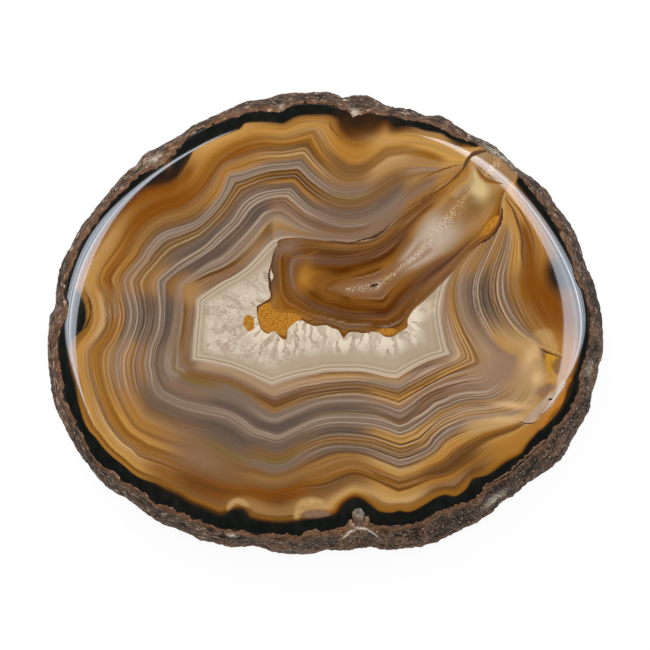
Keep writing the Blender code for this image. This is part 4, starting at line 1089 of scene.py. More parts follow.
# Patches with an edge, where the bands are broken or arch: tone, strength, softness in mm, outline
patches = [
    ("sand", 0.7, 1.4, [
        (42.0, -7.9), (44.4, -8.1), (46.8, -11.3), (46.7, -14.5), (45.6, -15.4), (44.0, -13.0), (42.8, -10.5),
    ]),
    ("sand", 0.7, 1.2, [(44.2, -3.7), (47.3, -3.2), (48.5, -4.7), (49.2, -7.4), (47.3, -7.6), (45.6, -5.6)]),
    ("honey", 0.9, 0.7, [(47.8, -11.3), (49.4, -13.5), (48.7, -14.6), (46.8, -14.5), (46.7, -12.8)]),
    ("yolk", 0.95, 0.6, [(46.8, -8.4), (48.5, -9.0), (47.9, -10.5), (47.8, -12.0), (46.8, -12.1)]),
    ("brown", 0.9, 0.7, [(48.5, -9.9), (49.9, -9.3), (49.9, -11.3), (49.0, -13.0), (48.0, -11.5)]),
    ("mauve", 0.8, 0.7, [
        (45.9, -15.5), (46.8, -15.0), (48.6, -15.2), (48.7, -15.9), (46.8, -16.9), (45.5, -17.9),
    ]),
    ("sand", 0.7, 1.2, [
        (38.0, -18.9), (42.4, -18.0), (44.6, -17.4), (44.9, -18.9), (42.8, -20.4), (39.5, -20.2),
    ]),
    ("sand", 0.7, 1.2, [
        (36.0, -21.9), (39.0, -21.9), (41.8, -22.0), (41.6, -23.1), (39.0, -23.4), (36.0, -23.2),
    ]),
    ("flame", 0.75, 1.3, [
        (52.1, -14.0), (51.6, -16.9), (50.3, -19.3), (49.2, -21.0), (47.3, -22.9), (45.4, -24.6),
        (46.4, -21.8),
        (48.2, -19.1), (50.0, -16.7), (50.9, -14.5),
    ]),
    ("rust", 0.9, 0.6, [(51.9, -14.6), (51.4, -17.1), (50.2, -19.2), (50.6, -17.0), (51.3, -14.8)]),
    ("rust", 0.8, 0.7, [(49.6, -20.0), (48.2, -21.9), (46.4, -23.6), (47.2, -22.0), (48.6, -20.3)]),
    ("milk", 0.8, 0.7, [
        (41.6, -23.5), (42.3, -22.3), (45.1, -19.1), (47.1, -17.2), (48.7, -16.2), (50.3, -14.2),
        (50.7, -15.0),
        (49.7, -16.9), (47.5, -20.1), (46.1, -21.3), (43.7, -23.3),
    ]),
    ("olive", 0.6, 0.6, [(44.8, -22.0), (46.2, -20.2), (47.2, -19.2), (47.0, -20.4), (45.8, -21.8)]),
    ("sand", 1.0, 1.1, [
        (-6.6, -43.4), (-6.2, -41.0), (-4.6, -39.6), (-1.8, -39.4), (0.9, -40.9), (0.2, -41.7), (-2.3, -41.4),
        (-4.6, -42.2), (-5.6, -43.6),
    ]),
    ("mauve", 0.85, 0.9, [
        (-4.8, -43.3), (-4.4, -42.3), (-2.3, -41.7), (0.0, -41.9), (1.0, -43.2), (-2.0, -43.6),
    ]),
    ("sand", 0.95, 0.9, [
        (-20.6, -41.9), (-20.3, -40.3), (-18.6, -39.4), (-16.8, -39.9), (-15.9, -41.3), (-17.3, -40.9),
        (-18.6, -40.5), (-19.6, -41.2),
    ]),
]

pockets = [
    ("amber", 1.0, (-16.3, -1.8), (1.2, 1.9), 12.0),
    ("amber", 1.0, (-12.6, -0.4), (1.9, 3.6), 10.0),
    ("amber", 1.0, (-9.2, -2.0), (2.8, 2.6), 0.0),
    ("amber", 0.9, (-6.6, -1.4), (1.6, 1.5), 0.0),
    ("amber", 0.9, (35.2, 19.4), (0.9, 3.4), -40.0),
    ("amber", 0.8, (13.0, -3.6), (2.6, 0.9), 0.0),
]

# Growth lines over the bands' colour: level, tone, strength, half width
growthLines = [
    (1.20, "umber", 0.25, 0.03), (1.33, "umber", 0.35, 0.035), (1.47, "sand", 0.25, 0.03),
    (1.62, "umber", 0.15, 0.03), (1.78, "sand", 0.2, 0.03), (1.99, "umber", 0.6, 0.04),
    (2.08, "sand", 0.25, 0.03), (2.20, "umber", 0.35, 0.03), (2.27, "sand", 0.2, 0.02),
    (2.34, "umber", 0.5, 0.035), (2.42, "umber", 0.35, 0.03), (2.50, "sand", 0.35, 0.03),
    (2.58, "umber", 0.25, 0.025), (2.64, "sand", 0.3, 0.025), (2.73, "espresso", 0.6, 0.035),
    (2.81, "ash", 0.3, 0.025), (2.88, "slate", 0.35, 0.025), (2.95, "milk", 0.6, 0.03),
    (3.01, "slate", 0.4, 0.025), (3.07, "ash", 0.45, 0.025), (3.14, "milk", 0.65, 0.03),
    (3.20, "espresso", 0.6, 0.03), (3.26, "ash", 0.5, 0.025), (3.32, "espresso", 0.55, 0.03),
    (3.38, "milk", 0.55, 0.025), (3.44, "espresso", 0.4, 0.03), (3.53, "ash", 0.25, 0.025),
    (3.60, "slate", 0.3, 0.025), (3.67, "ash", 0.25, 0.02), (3.74, "slate", 0.4, 0.03),
    (3.80, "milk", 0.8, 0.028), (3.85, "slate", 0.4, 0.02), (3.90, "milk", 0.55, 0.024),
    (3.945, "slate", 0.3, 0.02), (4.00, "milk", 0.8, 0.03), (4.10, "slate", 0.4, 0.05),
    (4.28, "ash", 0.2, 0.05), (4.42, "slate", 0.2, 0.05), (4.60, "ash", 0.12, 0.05),
    (4.75, "slate", 0.3, 0.06), (4.87, "ash", 0.4, 0.05), (4.98, "milk", 0.7, 0.05),
    (5.09, "taupe", 0.4, 0.05), (5.20, "ash", 0.4, 0.05), (5.32, "taupe", 0.4, 0.05),
    (5.46, "ash", 0.35, 0.06), (5.62, "milk", 0.6, 0.07), (5.76, "umber", 0.5, 0.06),
    (5.90, "umber", 0.45, 0.06), (6.02, "sand", 0.4, 0.05), (6.12, "umber", 0.5, 0.04),
    (6.20, "sand", 0.4, 0.035), (6.28, "umber", 0.5, 0.04), (6.37, "ash", 0.5, 0.04),
    (6.45, "brown", 0.4, 0.035), (6.52, "milk", 0.5, 0.03), (6.60, "mauve", 0.4, 0.04),
    (6.69, "ash", 0.4, 0.04), (6.79, "olive", 0.4, 0.05), (6.89, "brown", 0.5, 0.035),
    (6.965, "milk", 0.7, 0.03),
]

lobeLines = [
    (0.22, "umber", 0.4, 0.06), (0.36, "tan", 0.25, 0.05), (0.52, "umber", 0.3, 0.06),
    (0.74, "umber", 0.3, 0.05),
    (0.92, "ash", 0.55, 0.06), (1.02, "chestnut", 0.7, 0.04), (1.20, "umber", 0.4, 0.05),
    (1.34, "tan", 0.2, 0.05),
    (1.46, "chestnut", 0.45, 0.05), (1.62, "umber", 0.3, 0.05), (1.76, "ash", 0.25, 0.06),
    (1.92, "plum", 0.4, 0.05),
    (2.10, "mauve", 0.3, 0.07), (2.30, "plum", 0.3, 0.05), (2.45, "mauve", 0.25, 0.06),
    (2.62, "chestnut", 0.4, 0.06),
    (2.80, "plum", 0.2, 0.06), (3.45, "bronze", 0.3, 0.06), (3.62, "gold", 0.3, 0.06),
    (3.80, "bronze", 0.35, 0.06),
    (3.96, "cream", 0.6, 0.05), (4.06, "plum", 0.35, 0.05), (4.20, "rose", 0.3, 0.07),
    (4.38, "clay", 0.25, 0.06),
]

# quartz: how deep inside its outer line the crystals start, on the left and elsewhere, in mm
quartz = {
    "leftStart": 1.0, "elseStart": 3.0, "fade": 2.0, "blobs": 1.05, "feathers": 2.2,
    "edging": [
        (0.22, "white", 0.5, 0.2), (0.62, "olive", 0.5, 0.18), (0.98, "white", 0.45, 0.16),
        (1.6, "mauve", 0.2, 0.4),
    ],
}


def shaded(desk, colour, amount):
    # darkens or lightens a colour by 1 plus the amount
    shade = amount + 1
    return desk.mix(1.0, colour, desk.joined(shade, shade, shade), "MULTIPLY")


def fineBanding(desk, where, depth, seed):
    # noise that changes fast across the bands and slowly along them, at two widths
    slow = desk.scaled(where, (0.05, 0.05, 0))
    wide = desk.vector("ADD", slow, desk.joined(seed, 1.0, depth * 1.1))
    narrow = desk.vector("ADD", slow, desk.joined(seed + 9.0, 1.0, depth * 2.7))
    return (desk.noise(wide, 1.0, 1.0) - 0.5) + (desk.noise(narrow, 1.0, 2.0, 0.7) - 0.5) * 0.9


def thinLines(desk, where, depth, seed, half):
    # a thin line wherever a noise across the bands passes its middle value
    slow = desk.scaled(where, (0.022, 0.022, 0))
    value = desk.noise(desk.vector("ADD", slow, desk.joined(seed, seed, depth)), 1.0, 1.0) - 0.5
    return (value * value).step(half * half, 0.0)


def agateMaterial():
    # from below: bands, patches, growth lines, black rim, fine lines, lobe, quartz, pockets, stains
    desk = Desk("polished_agate")
    where = desk.place()
    crisp = desk.attribute("crisp")
    even, depth = desk.attribute("even"), desk.attribute("depth")
    wave = desk.noise(where, 0.16, 2.0) - 0.5
    shake = desk.noise(where, 0.9, 2.0) - 0.5
    even = even + wave * 0.05 + shake * 0.02
    depth = depth + wave * 0.3 + shake * 0.1
    colour = desk.attribute("base", "Color")
    patchShare = (desk.attribute("patchShare") * (desk.noise(where, 0.5, 2.0) * 0.8 + 0.6)).upTo(0.95)
    colour = desk.mix(patchShare, colour, shaded(desk, desk.attribute("patch", "Color"), shake * 0.6))
    thread, strength = desk.threads(even, growthLines)
    colour = desk.mix((strength * crisp).upTo(1.0), colour, thread)
    mottle = desk.noise(desk.scaled(where, (0.5, 0.2, 1)), 1.0, 2.0).step(0.4, 0.7)
    smudge = desk.mix(mottle, linear("black"), linear((33, 36, 34)))
    colour = desk.mix(even.step(1.03, 0.94) * 0.85, colour, smudge)
    inBands = even.step(0.98, 1.3)
    slow = desk.scaled(where, (0.03, 0.03, 0))
    layers = desk.vector("ADD", slow, desk.joined(2.0, 5.0, depth * 0.42))
    grouped = desk.noise(layers, 1.0, 1.0).step(0.36, 0.6)
    crisp = crisp * (grouped * 0.75 + 0.3)
    amount = inBands * (crisp * 0.9 + 0.08)
    colour = shaded(desk, colour, fineBanding(desk, where, depth, 3.0) * amount)
    paleLines = thinLines(desk, where, depth * 1.5, 4.0, 0.03) * inBands * crisp
    darkLines = thinLines(desk, where, depth * 1.9, 8.0, 0.035) * inBands * crisp
    colour = desk.mix(paleLines * 0.35, colour, linear("milk"))
    colour = desk.mix(darkLines * 0.5, colour, linear("umber"))
    colour = desk.mix(desk.attribute("inLobe").step(-0.10, 0.12), colour, lobeColour(desk, where))
    colour = desk.mix(desk.attribute("inQuartz").step(-0.15, 0.12), colour, quartzColour(desk, where))
    pocket = desk.attribute("pocket") * (desk.noise(where, 0.8, 2.0) * 0.8 + 0.6)
    speckle = desk.noise(where, 2.6, 3.0, 0.7)
    spotted = desk.mix(speckle.step(0.36, 0.66), linear((172, 112, 28)), linear((216, 158, 66)))
    spotted = desk.mix(speckle.step(0.36, 0.28) * 0.7, spotted, linear("chestnut"))
    colour = desk.mix(pocket.step(0.32, 0.52), colour, spotted)
    blotch = desk.noise(where, 0.7, 3.0) * 0.5 + 0.75
    stainShare = desk.attribute("stainShare") * blotch
    colour = desk.mix(stainShare.upTo(1.0), colour, desk.attribute("stain", "Color"))
    colour = desk.mix(1.0, colour, slab["body"] + (1,), "MULTIPLY")
    sawn = desk.attribute("sawn")
    colour = desk.mix(sawn * 0.35, colour, linear("ash"))
    roughness = sawn * 0.4 + 0.07
    return desk.finish(colour, roughness, IOR=1.54)


def lobeColour(desk, where):
    # the lobe's own bands and lines, a dark fringe below, and small crystals down its middle
    wave = desk.noise(where, 0.3, 2.0) - 0.5
    level = desk.attribute("lobe") + wave * 0.16
    crisp = desk.attribute("lobeCrisp")
    colour = desk.attribute("lobeBase", "Color")
    thread, strength = desk.threads(level, lobeLines)
    colour = desk.mix((strength * crisp * 1.4).upTo(1.0), colour, thread)
    depth = desk.attribute("lobeDepth") + wave * 0.6
    fade = level.step(4.4, 3.8) * (crisp * 1.0 + 0.16)
    colour = shaded(desk, colour, fineBanding(desk, where, depth, 20.0) * fade)
    lines = thinLines(desk, where, depth * 1.3, 14.0, 0.05) * level.step(4.4, 3.8) * crisp
    colour = desk.mix(lines * 0.8, colour, linear("chestnut"))
    edge = desk.attribute("inLobe") + (desk.noise(where, 0.9, 2.0) - 0.5) * 0.9
    fringe = edge.step(0.5, 0.0) * desk.attribute("lowEdge") * desk.noise(where, 0.8, 2.0).step(0.46, 0.58)
    colour = desk.mix(fringe * 0.85, colour, linear("chestnut"))
    patch = desk.noise(where, 0.35, 1.0).step(0.28, 0.5)
    druse = level.step(4.55, 4.85) * patch
    light = druse * desk.cells(where, 2.9).step(0.46, 0.2)
    golden = desk.noise(where, 0.5, 1.0).step(0.45, 0.6)
    colour = desk.mix(light * 0.95, colour, desk.mix(golden, linear("white"), linear("butter")))
    shifted = desk.vector("ADD", where, (3.3, 1.7, 0))
    dark = level.step(4.5, 4.85) * desk.cells(shifted, 1.9).step(0.30, 0.14)
    return desk.mix(dark * 0.75, colour, linear("bronze"))


def quartzColour(desk, where):
    # clear grey quartz, whitening into crystals that grow in from the lobe and the left
    along, across = desk.attribute("crystalAlong"), desk.attribute("crystalAcross")
    depth, gap = desk.attribute("quartzDepth"), desk.attribute("lobeGap")
    warp = (desk.noise(where, 0.45, 3.0) - 0.5) * 2.2
    grain = desk.joined(along + warp, (across + warp * 0.6) * 0.38, 0.0)
    tips = desk.cells(grain, quartz["blobs"], "F1", "Color")
    gaps = desk.cells(grain, quartz["blobs"], "F1", "Distance")
    feathers = desk.noise(grain, quartz["feathers"], 5.0, 0.7, 0.8)
    small = desk.noise(where, 3.2, 3.0, 0.7)
    clear = desk.mix(desk.noise(where, 0.12, 2.0), linear((186, 171, 150)), linear((204, 190, 170)))
    grown = desk.mix(tips.step(0.2, 0.8), linear((190, 176, 158)), linear((230, 222, 208)))
    grown = desk.mix(feathers.step(0.46, 0.6) * 0.6, grown, linear((250, 245, 234)))
    grown = desk.mix(gaps.step(0.5, 0.95) * 0.12, grown, linear((166, 148, 128)))
    grown = desk.mix(feathers.step(0.43, 0.3) * 0.18, grown, linear((160, 142, 122)))
    grown = shaded(desk, grown, (small - 0.5) * 0.6)
    colour = desk.mix(desk.attribute("crystal") * 0.85, clear, grown)
    bright = gap.step(4.4, 0.6) * desk.attribute("lowEdge") * tips.step(0.25, 0.6)
    colour = desk.mix(bright * 0.75, colour, linear((255, 247, 230)))
    specks = desk.cells(where, 1.5).step(0.13, 0.06) * desk.attribute("crystal")
    colour = desk.mix(specks * 0.8, colour, linear("umber"))
    edging, share = desk.threads(depth, quartz["edging"])
    return desk.mix(share, colour, edging)


def outlineShare(x, y, softness, points):
    # 1 inside the outline, falling smoothly to 0 over the softness at its edge
    share, (low, high) = np.zeros(len(x)), (np.min(points, 0) - 2, np.max(points, 0) + 2)
    near = (x > low[0]) & (x < high[0]) & (y > low[1]) & (y < high[1])
    inside = np.clip(depthIn(points, x[near], y[near]) / softness + 0.5, 0, 1)
    share[near] = inside * inside * (3 - 2 * inside)
    return share


def colourAt(lists, x, y):
    # stains or patches laid one over the other: the tone and how much it covers
    tone, cover = np.zeros((len(x), 3)), np.zeros(len(x))
    for name, strength, *form in lists:
        add = strength * (outlineShare(x, y, *form) if len(form) == 2 else spot(x, y, *form))
        total = cover + add * (1 - cover)
        blend = (add / np.maximum(total, 1e-6))[:, None]
        tone = tone * (1 - blend) + np.array(linear(name)[:3]) * blend
        cover = total
    return np.concatenate([tone, np.ones((len(x), 1))], 1), cover


def makeSlab():
    points, faces, faceCount, backCount = slabMesh()
    piece = newPiece("banded_slab", points, faces, agateMaterial())
    x, y = onDrawing(*points.T)
    depths = [depthIn(line, x, y) for line in bandLines]
    level = levelsBetween(depths, slab["heartDepth"])
    lobeDepths = [depthIn(line, x, y) for line in lobeContours]
    axis, _ = nearestOn(smoothLine(lobeDruse, False), x, y, False)
    apart, along = nearestOn(smoothLine(crystalLine, False), x, y, False)
    # crystals on the outer side of their middle line count as negative
    side = np.where(depths[-1] < -lobeDepths[0], -1.0, 1.0)
    base, crisp, even = spokeValues(spokes, x, y, level)
    lobeLevel = levelsBetween(lobeDepths, axis)
    lobeBase, lobeCrisp, _ = spokeValues(lobeSpokes, x, y, lobeLevel)
    store(piece, "base", base)
    # the lines stand out more towards the right
    store(piece, "crisp", crisp * (1 + 0.5 * np.clip((x - 15) / 20, 0, 1)))
    store(piece, "even", even)
    store(piece, "depth", np.interp(even, range(9), slab["bandDepths"]))
    store(piece, "lobe", lobeLevel)
    store(piece, "lobeBase", lobeBase)
    store(piece, "lobeCrisp", lobeCrisp)
    store(piece, "lobeDepth", np.interp(lobeLevel, range(6), slab["lobeDepths"]))
    store(piece, "inLobe", lobeDepths[0])
    store(piece, "inQuartz", np.minimum(depths[-1], -lobeDepths[0]))
    store(piece, "quartzDepth", depths[-1])
    store(piece, "lobeGap", -lobeDepths[0])
    store(piece, "crystalAlong", along)
    store(piece, "crystalAcross", apart * side)
    start = np.interp(x, (-18, -9), (quartz["leftStart"], quartz["elseStart"]))
    store(piece, "crystal", np.clip((depths[-1] - start) / quartz["fade"], 0, 1))
    # lowEdge is 1 along the lower side of the lobe, where the crystals are bright
    store(piece, "lowEdge", np.clip((1.5 - y + 0.25 * np.maximum(x - 14, 0)) / 2.5, 0, 1))
    # the pockets stay inside the lobe, but for the one out in the quartz
    _, pocket = colourAt(pockets, x, y)
    inside = np.clip(lobeDepths[0] / 0.4 + 0.5, 0, 1)
    store(piece, "pocket", np.where(x < -14.8, pocket, pocket * inside))
    for table, name in ((stains, "stain"), (patches, "patch")):
        tone, cover = colourAt(table, x, y)
        store(piece, name, tone)
        store(piece, name + "Share", cover)
    sawn = np.zeros(len(points))
    sawn[faceCount:faceCount + backCount] = 1
    store(piece, "sawn", sawn)
    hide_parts("agate_slice")
    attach(piece, "root")
    print("banded slab made:", len(points), "points")


# Heights over the face of a mark's eight rows, in mm: rim, five over the top, rim, one sunk below
ribbonLift = [-0.008, 0.010, 0.012, 0.012, 0.012, 0.010, -0.008, -0.3]

# Small marks laid just proud of the face. Each runs along a drawn line of (x, y, half width), and
# its tones go from its left side to its right.
marks = {
    "canal_crack": {
        "line": [
            (29.4, 31.6, 0.1), (30.0, 33.0, 0.5), (31.0, 34.8, 0.5), (32.5, 35.8, 0.7), (34.2, 36.3, 0.4),
            (35.2, 36.5, 0.05),
        ],
        "tones": "olive walnut espresso walnut olive", "ragged": 0.14,
    },
    "canal_wedge": {
        "line": [
            (32.3, 32.4, 0.1), (33.2, 30.8, 0.5), (34.6, 29.5, 0.6), (36.4, 29.0, 0.4), (38.0, 28.8, 0.1),
        ],
        "tones": "gold bronze gold amber", "ragged": 0.15,
    },
    "left_eye": {
        "line": [
            (-51.4, 5.2, 0.04), (-50.5, 3.8, 0.14), (-50.0, 2.2, 0.22), (-49.9, 0.1, 0.14),
            (-50.7, -2.2, 0.26),
            (-51.7, -3.4, 0.14), (-52.9, -4.0, 0.04),
        ],
        "tones": "bronze chestnut soot chestnut bronze", "ragged": 0.16,
    },
    "pocket_edge": {
        "line": [
            (31.2, 14.4, 0.08), (32.9, 15.6, 0.3), (34.8, 16.8, 0.42), (36.3, 18.4, 0.5), (37.3, 20.4, 0.45),
            (37.7, 22.4, 0.3), (37.6, 23.8, 0.06),
        ],
        "tones": "gold rust chestnut soot espresso", "ragged": 0.4,
    },
    "fan_line": {
        "line": [
            (38.4, 25.6, 0.1), (40.0, 23.2, 0.3), (41.2, 19.8, 0.45), (42.0, 16.8, 0.42), (41.9, 13.4, 0.35),
            (42.3, 9.8, 0.06),
        ],
        "tones": "gold bronze umber bronze gold", "ragged": 0.05,
    },
    "fan_line_two": {
        "line": [
            (38.9, 26.0, 0.08), (41.6, 22.8, 0.25), (43.4, 19.2, 0.35), (44.4, 15.8, 0.3),
            (44.6, 12.8, 0.08),
        ],
        "tones": "amber rust bronze rust amber", "ragged": 0.05,
    },
    "fault_top": {
        "line": [(45.4, -7.4, 0.04), (46.8, -8.1, 0.2), (48.8, -8.8, 0.14), (50.2, -9.3, 0.04)],
        "tones": "espresso soot espresso", "ragged": 0.08,
    },
    "fault_top_pale": {
        "line": [(43.0, -5.8, 0.04), (45.6, -6.8, 0.2), (48.2, -7.8, 0.3), (50.4, -8.7, 0.1)],
        "tones": "tan sand tan", "ragged": 0.06,
    },
    "fault_light": {
        "line": [
            (45.8, -21.2, 0.04), (47.4, -19.2, 0.2), (48.8, -17.3, 0.3), (50.0, -15.6, 0.3),
            (50.8, -14.4, 0.08),
        ],
        "tones": "milk white milk", "ragged": 0.08,
    },
    "canal_streak": {
        "line": [
            (20.2, 25.3, 0.05), (23.6, 26.8, 0.3), (26.4, 28.8, 0.22), (28.6, 30.8, 0.34), (29.5, 32.3, 0.1),
        ],
        "tones": "gold bronze umber bronze gold", "ragged": 0.16,
    },
    "canal_streak_high": {
        "line": [(19.6, 29.2, 0.05), (23.6, 31.2, 0.24), (27.0, 32.5, 0.2), (29.4, 33.0, 0.06)],
        "tones": "gold bronze gold", "ragged": 0.12,
    },
    "fault_heel": {
        "line": [(40.6, -22.9, 0.03), (42.0, -23.4, 0.14), (43.8, -23.3, 0.12), (45.0, -22.7, 0.03)],
        "tones": "walnut espresso walnut", "ragged": 0.04,
    },
    "fault_pit": {
        "line": [(47.0, -18.4, 0.08), (47.5, -18.2, 0.26), (48.0, -18.1, 0.06)], "tones": "black black black",
        "ragged": 0.05,
    },
    "top_tick": {
        "line": [(0.8, 42.7, 0.04), (1.2, 41.2, 0.16), (2.3, 39.8, 0.1), (4.0, 38.6, 0.03)],
        "tones": "rust espresso rust", "ragged": 0.03,
    },
    "lobe_top": {
        "line": [
            (1.0, 16.1, 0.04), (4.4, 15.4, 0.16), (7.8, 16.2, 0.16), (10.3, 16.9, 0.32), (12.3, 18.1, 0.22),
            (13.5, 19.4, 0.04),
        ],
        "tones": "umber espresso soot umber", "ragged": 0.22,
    },
    "lobe_upper": {
        "line": [(17.2, 22.9, 0.03), (19.0, 24.2, 0.1), (21.5, 25.6, 0.08), (24.0, 28.2, 0.03)],
        "tones": "umber espresso umber", "ragged": 0.08,
    },
    "lobe_left": {
        "line": [
            (-10.0, 15.3, 0.05), (-10.9, 13.6, 0.14), (-11.5, 11.2, 0.1), (-12.0, 8.8, 0.26),
            (-11.9, 6.8, 0.3),
            (-11.6, 4.6, 0.12), (-11.8, 3.2, 0.2), (-13.2, 2.2, 0.16), (-14.3, 1.6, 0.22), (-14.5, 0.2, 0.08),
        ],
        "tones": "soot espresso chestnut umber", "ragged": 0.2,
    },
    "lobe_corner": {
        "line": [(-8.8, 12.9, 0.04), (-6.0, 12.4, 0.14), (-3.4, 13.0, 0.16), (-1.2, 14.0, 0.04)],
        "tones": "gold rust gold", "ragged": 0.06,
    },
    "lobe_foot": {
        "line": [
            (-5.2, -2.6, 0.04), (-3.4, -1.5, 0.12), (-1.0, -1.4, 0.06), (1.4, -2.4, 0.12), (4.2, -3.4, 0.08),
            (7.2, -3.8, 0.14), (10.0, -4.2, 0.04),
        ],
        "tones": "umber chestnut umber", "ragged": 0.16,
    },
    "lobe_crack": {
        "line": [(24.6, 6.8, 0.03), (25.6, 8.2, 0.09), (27.2, 9.8, 0.03)], "tones": "umber espresso umber",
        "ragged": 0.05,
    },
    "druse_pit": {
        "line": [(9.3, 5.9, 0.1), (10.2, 6.2, 0.45), (11.3, 6.5, 0.12)], "tones": "umber soot espresso umber",
        "ragged": 0.3,
    },
}


def markRibbon(line, ragged, seed):
    # rows of points across the mark: rim, five over the top, rim, and one sunk below
    knots = np.array(line)
    along = smoothLine(knots[:, :2], False, 10)
    half = smoothLine(np.stack([np.arange(len(knots)), knots[:, 2]], 1), False, 10)[:, 1]
    ahead = np.gradient(along, axis=0)
    ahead = ahead / np.hypot(*ahead.T)[:, None]
    side = np.stack([-ahead[:, 1], ahead[:, 0]], 1)
    jitter = np.random.default_rng(seed).random((2, len(along))) - 0.5
    rows = []
    for share in np.linspace(1, -1, len(ribbonLift) - 1):
        sway = jitter[0 if share > 0 else 1] * ragged * abs(share) * np.minimum(half / 0.2, 1)
        rows.append(along + side * (np.maximum(half, 0.02) * share + sway)[:, None])
    rows.append(along)
    return np.stack(rows, 1)


def makeMarks():
    points, tone, faces = [], [], []
    wide = len(ribbonLift)
    for seed, mark in enumerate(marks.values()):
        drawn = markRibbon(mark["line"], mark["ragged"], seed)
        count = len(drawn)
        flat = onSlice(drawn.reshape(-1, 2), slab["height"] - 0.8)
        lift = np.tile(ribbonLift, count)
        place = np.concatenate([flat, (faceHeight(flat[:, 0], flat[:, 1]) + lift)[:, None]], 1)
        colours = np.array([linear(name) for name in mark["tones"].split()])
        shares = np.linspace(0, 1, len(colours))
        across = np.tile(np.append(np.linspace(0, 1, wide - 1), 0.5), count)
        mixed = np.stack([np.interp(across, shares, colours[:, i]) for i in range(4)], 1)
        first = sum(len(p) for p in points)
        row = np.arange(count - 1)[:, None] * wide + first
        col = np.arange(wide)[None, :]
        nextCol = (col + 1) % wide
        quads = np.stack([row + col, row + nextCol, row + wide + nextCol, row + wide + col], -1)
        faces += quads.reshape(-1, 4).tolist()
        faces.append([first + i for i in reversed(range(wide))])
        faces.append([first + (count - 1) * wide + i for i in range(wide)])
        points.append(place)
        tone.append(mixed)
    points, tone = np.concatenate(points), np.concatenate(tone)
    desk = Desk("face_marks")
    where = desk.place()
    colour = shaded(desk, desk.attribute("tone", "Color"), (desk.noise(where, 3.0, 3.0, 0.7) - 0.5) * 0.9)
    colour = desk.mix(1.0, colour, slab["body"] + (1,), "MULTIPLY")
    piece = newPiece("face_marks", points, faces, desk.finish(colour, 0.6, Specular_IOR_Level=0.08))
    store(piece, "tone", tone)
    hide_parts("agate_slice")
    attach(piece, "root")
    print("marks made:", len(points), "points")


# Knobs of rough quartz on the lower border: drawn place, length, width, height, turn, and how
# far its colour goes from smoky to amber
knobs = {
    "shapes": [
        ((6.9, -42.9), 5.9, 2.9, 2.6, 92.0, 0.1),
        ((8.5, -44.2), 2.6, 1.6, 1.5, 70.0, 0.8),
        ((5.4, -45.0), 2.8, 1.6, 1.5, 110.0, 0.9),
    ],
    "lean": 10.0,
    "rows": 28,
    "columns": 44,
    "facets": 0.09,
    "cuts": 26,
    "nearest": 0.80,  # a cut plane's least distance from the middle, and how much more it may be
    "spread": 0.14,
    "pull": 0.9,
    "sunk": 0.6,  # share of the border's roll that the knobs sink with
}


def knobPoints(place, length, width, height, turn, seed):
    # a ball pressed to size with flat facets cut in it: each cut pulls in what lies beyond a plane
    rng = np.random.default_rng(seed)
    polar = np.linspace(0, math.pi, knobs["rows"])[1:-1, None]
    around = np.linspace(0, 2 * math.pi, knobs["columns"], endpoint=False)[None, :]
    flat = [np.sin(polar) * np.cos(around), np.sin(polar) * np.sin(around)]
    ball = np.stack(flat + [np.cos(polar) + 0 * around], -1)
    ball = np.concatenate([[[0, 0, 1.0]], ball.reshape(-1, 3), [[0, 0, -1.0]]])
    for cut in rng.normal(size=(knobs["cuts"], 3)):
        cut = cut / np.linalg.norm(cut)
        reach = knobs["nearest"] + knobs["spread"] * rng.random()
        beyond = np.maximum(ball @ cut - reach, 0)
        ball = ball - beyond[:, None] * cut * knobs["pull"]
    ball = ball * (1 + knobs["facets"] * 0.3 * rng.normal(size=(len(ball), 1)))
    body = ball * np.array([length, width, height]) / 2
    lean, spin = math.radians(knobs["lean"]), math.radians(turn)
    x = body[:, 0] * math.cos(lean) + body[:, 2] * math.sin(lean)
    z = body[:, 2] * math.cos(lean) - body[:, 0] * math.sin(lean)
    turnedX = x * math.cos(spin) - body[:, 1] * math.sin(spin)
    turnedY = x * math.sin(spin) + body[:, 1] * math.cos(spin)
    turned = np.stack([turnedX, turnedY, z], 1)
    level = slab["height"] - slab["domeDrop"] - knobs["sunk"] * slab["rollDrop"]
    middle = onSlice([place], slab["height"] - slab["domeDrop"] - slab["rollDrop"])[0]
    return turned + (middle[0], middle[1], level)


def knobFaces(first):
    # bands of quads between two fans of triangles at the poles
    rows, columns = knobs["rows"] - 2, knobs["columns"]
    last = first + 1 + rows * columns
    row, col = np.arange(rows - 1)[:, None], np.arange(columns)[None, :]
    here, beside = first + 1 + row * columns + col, first + 1 + row * columns + (col + 1) % columns
    faces = np.stack([here, here + columns, beside + columns, beside], -1).reshape(-1, 4).tolist()
    for i in range(columns):
        j = (i + 1) % columns
        faces.append([first, first + 1 + i, first + 1 + j])
        faces.append([last, last - columns + j, last - columns + i])
    return faces


